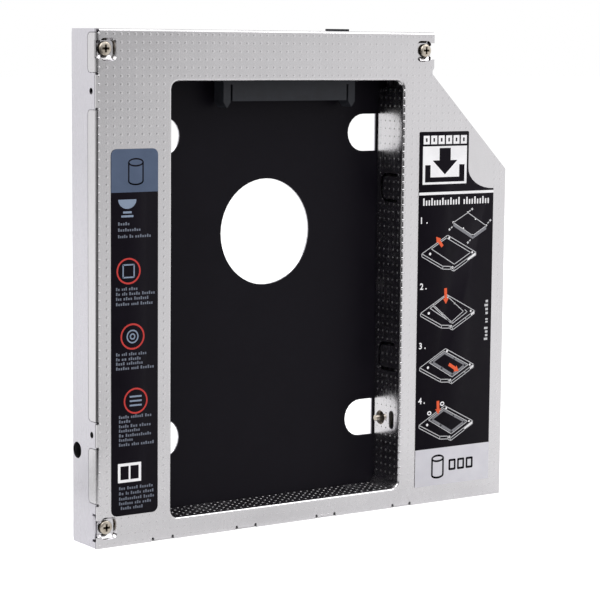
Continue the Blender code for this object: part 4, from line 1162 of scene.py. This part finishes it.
def add_camera():
    """The photograph's camera, from its azimuth, its drop below the horizon and its roll."""
    ahead = Vector((
        math.sin(CAMERA_AZIMUTH) * math.cos(CAMERA_DROP),
        math.cos(CAMERA_AZIMUTH) * math.cos(CAMERA_DROP),
        -math.sin(CAMERA_DROP),
    ))
    level = ahead.cross(Vector((0, 0, 1))).normalized()
    upright = level.cross(ahead)
    right = level * math.cos(CAMERA_ROLL) + upright * math.sin(CAMERA_ROLL)
    up = upright * math.cos(CAMERA_ROLL) - level * math.sin(CAMERA_ROLL)
    data = bpy.data.cameras.new("camera")
    data.lens = CAMERA_LENS
    data.sensor_width = SENSOR
    data.clip_start = CLIP_START
    camera = new_object("camera", data)
    turn = Matrix((right, up, -ahead)).transposed().to_4x4()
    camera.matrix_world = Matrix.Translation(CAMERA_PLACE) @ turn
    bpy.context.scene.camera = camera


# Studio


def add_world():
    """White to the camera, to reflections and through glass, and dimmer as a light."""
    world = bpy.data.worlds.new("studio")
    bpy.context.scene.world = world
    world.use_nodes = True
    nodes, links = world.node_tree.nodes, world.node_tree.links
    background = nodes["Background"]
    background.inputs["Color"].default_value = (1.0, 1.0, 1.0, 1.0)
    path = nodes.new("ShaderNodeLightPath").outputs
    shown = path["Is Camera Ray"]
    for kind in ("Is Transmission Ray", "Is Glossy Ray"):
        either = nodes.new("ShaderNodeMath")
        either.operation = "MAXIMUM"
        links.new(shown, either.inputs[0])
        links.new(path[kind], either.inputs[1])
        shown = either.outputs["Value"]
    strength = nodes.new("ShaderNodeMapRange")
    strength.inputs["To Min"].default_value = WORLD_LIGHT
    links.new(shown, strength.inputs["Value"])
    links.new(strength.outputs["Result"], background.inputs["Strength"])


def add_floor():
    """White paper that glows towards the camera and, less, in reflections."""
    bm = bmesh.new()
    bmesh.ops.create_grid(bm, x_segments=1, y_segments=1, size=FLOOR_SIZE)
    mesh = bpy.data.meshes.new("floor")
    bm.to_mesh(mesh)
    bm.free()
    tree = Tree("white_paper")
    grain = tree.noise(tree.place, 900.0, 3.0, 0.6)
    path = tree.nodes.new("ShaderNodeLightPath").outputs
    straight = tree.maths("MAXIMUM", path["Is Camera Ray"], path["Is Transmission Ray"])
    away = tree.nodes.new("ShaderNodeVectorMath")
    away.operation = "LENGTH"
    tree.plug(away.inputs[0], tree.place)
    reflected = tree.spread(away.outputs["Value"], *FLOOR_GLOW_SPAN, FLOOR_GLOW_NEAR, FLOOR_GLOW_FAR)
    shown = tree.maths("MULTIPLY", straight, FLOOR_GLOW)
    mirrored = tree.maths("MULTIPLY", path["Is Glossy Ray"], reflected)
    tree.set(
        Base_Color=tree.blend(tree.mottle(grain), (0.80, 0.80, 0.80), (0.82, 0.82, 0.82)),
        Roughness=0.9,
        Specular_IOR_Level=0.0,
        Emission_Color=(1.0, 1.0, 1.0),
        Emission_Strength=tree.maths("MAXIMUM", shown, mirrored),
    )
    mesh.materials.append(tree.material)
    floor = new_object("floor", mesh)


def add_flag():
    """A toned card round the front left that only reflections see, which gives the bright sheet contrast."""
    bm = bmesh.new()
    rows = []
    for radius, height in FLAG_PROFILE:
        row = []
        for step in range(FLAG_STEPS + 1):
            turn = FLAG_START + (FLAG_END - FLAG_START) * step / FLAG_STEPS
            row.append(bm.verts.new((radius * math.sin(turn), -radius * math.cos(turn), height)))
        rows.append(row)
    for low, high in zip(rows, rows[1:]):
        for step in range(FLAG_STEPS):
            bm.faces.new((low[step], low[step + 1], high[step + 1], high[step]))
    mesh = bpy.data.meshes.new("flag")
    bm.to_mesh(mesh)
    bm.free()
    tree = Tree("grey_card")
    turn = tree.maths("ARCTAN2", tree.axis("X"), tree.maths("MULTIPLY", tree.axis("Y"), -1.0))
    lift = tree.maths("MULTIPLY", tree.maths("SUBTRACT", FLAG_LEVEL, tree.axis("Z")), FLAG_LEAN)
    share = tree.spread(tree.maths("ADD", turn, lift), FLAG_START, FLAG_END, 0.0, 1.0)
    span = math.degrees(FLAG_END - FLAG_START)
    stops = [((angle - math.degrees(FLAG_START)) / span, grey) for angle, grey in FLAG_TONES]
    tree.set(
        Base_Color=(0.0, 0.0, 0.0),
        Specular_IOR_Level=0.0,
        Emission_Color=tree.ramp(share, stops),
        Emission_Strength=1.0,
    )
    mesh.materials.append(tree.material)
    flag = new_object("flag", mesh)
    flag.visible_camera = False
    flag.visible_diffuse = False
    flag.visible_transmission = False
    flag.visible_shadow = False


def add_lamp(name, place, size, power):
    """A soft box that faces the middle of the part."""
    data = bpy.data.lights.new(name, "AREA")
    data.shape = "RECTANGLE"
    data.size, data.size_y = size
    data.energy = power
    lamp = new_object(name, data)
    lamp.location = place
    middle = (CAD_LOW + CAD_HIGH) / 2
    lamp.rotation_euler = (middle - Vector(place)).to_track_quat("-Z", "Y").to_euler()


add_camera()
add_world()
add_floor()
add_flag()
for lamp_values in LAMPS:
    add_lamp(*lamp_values)
bpy.context.scene.view_settings.view_transform = "Standard"
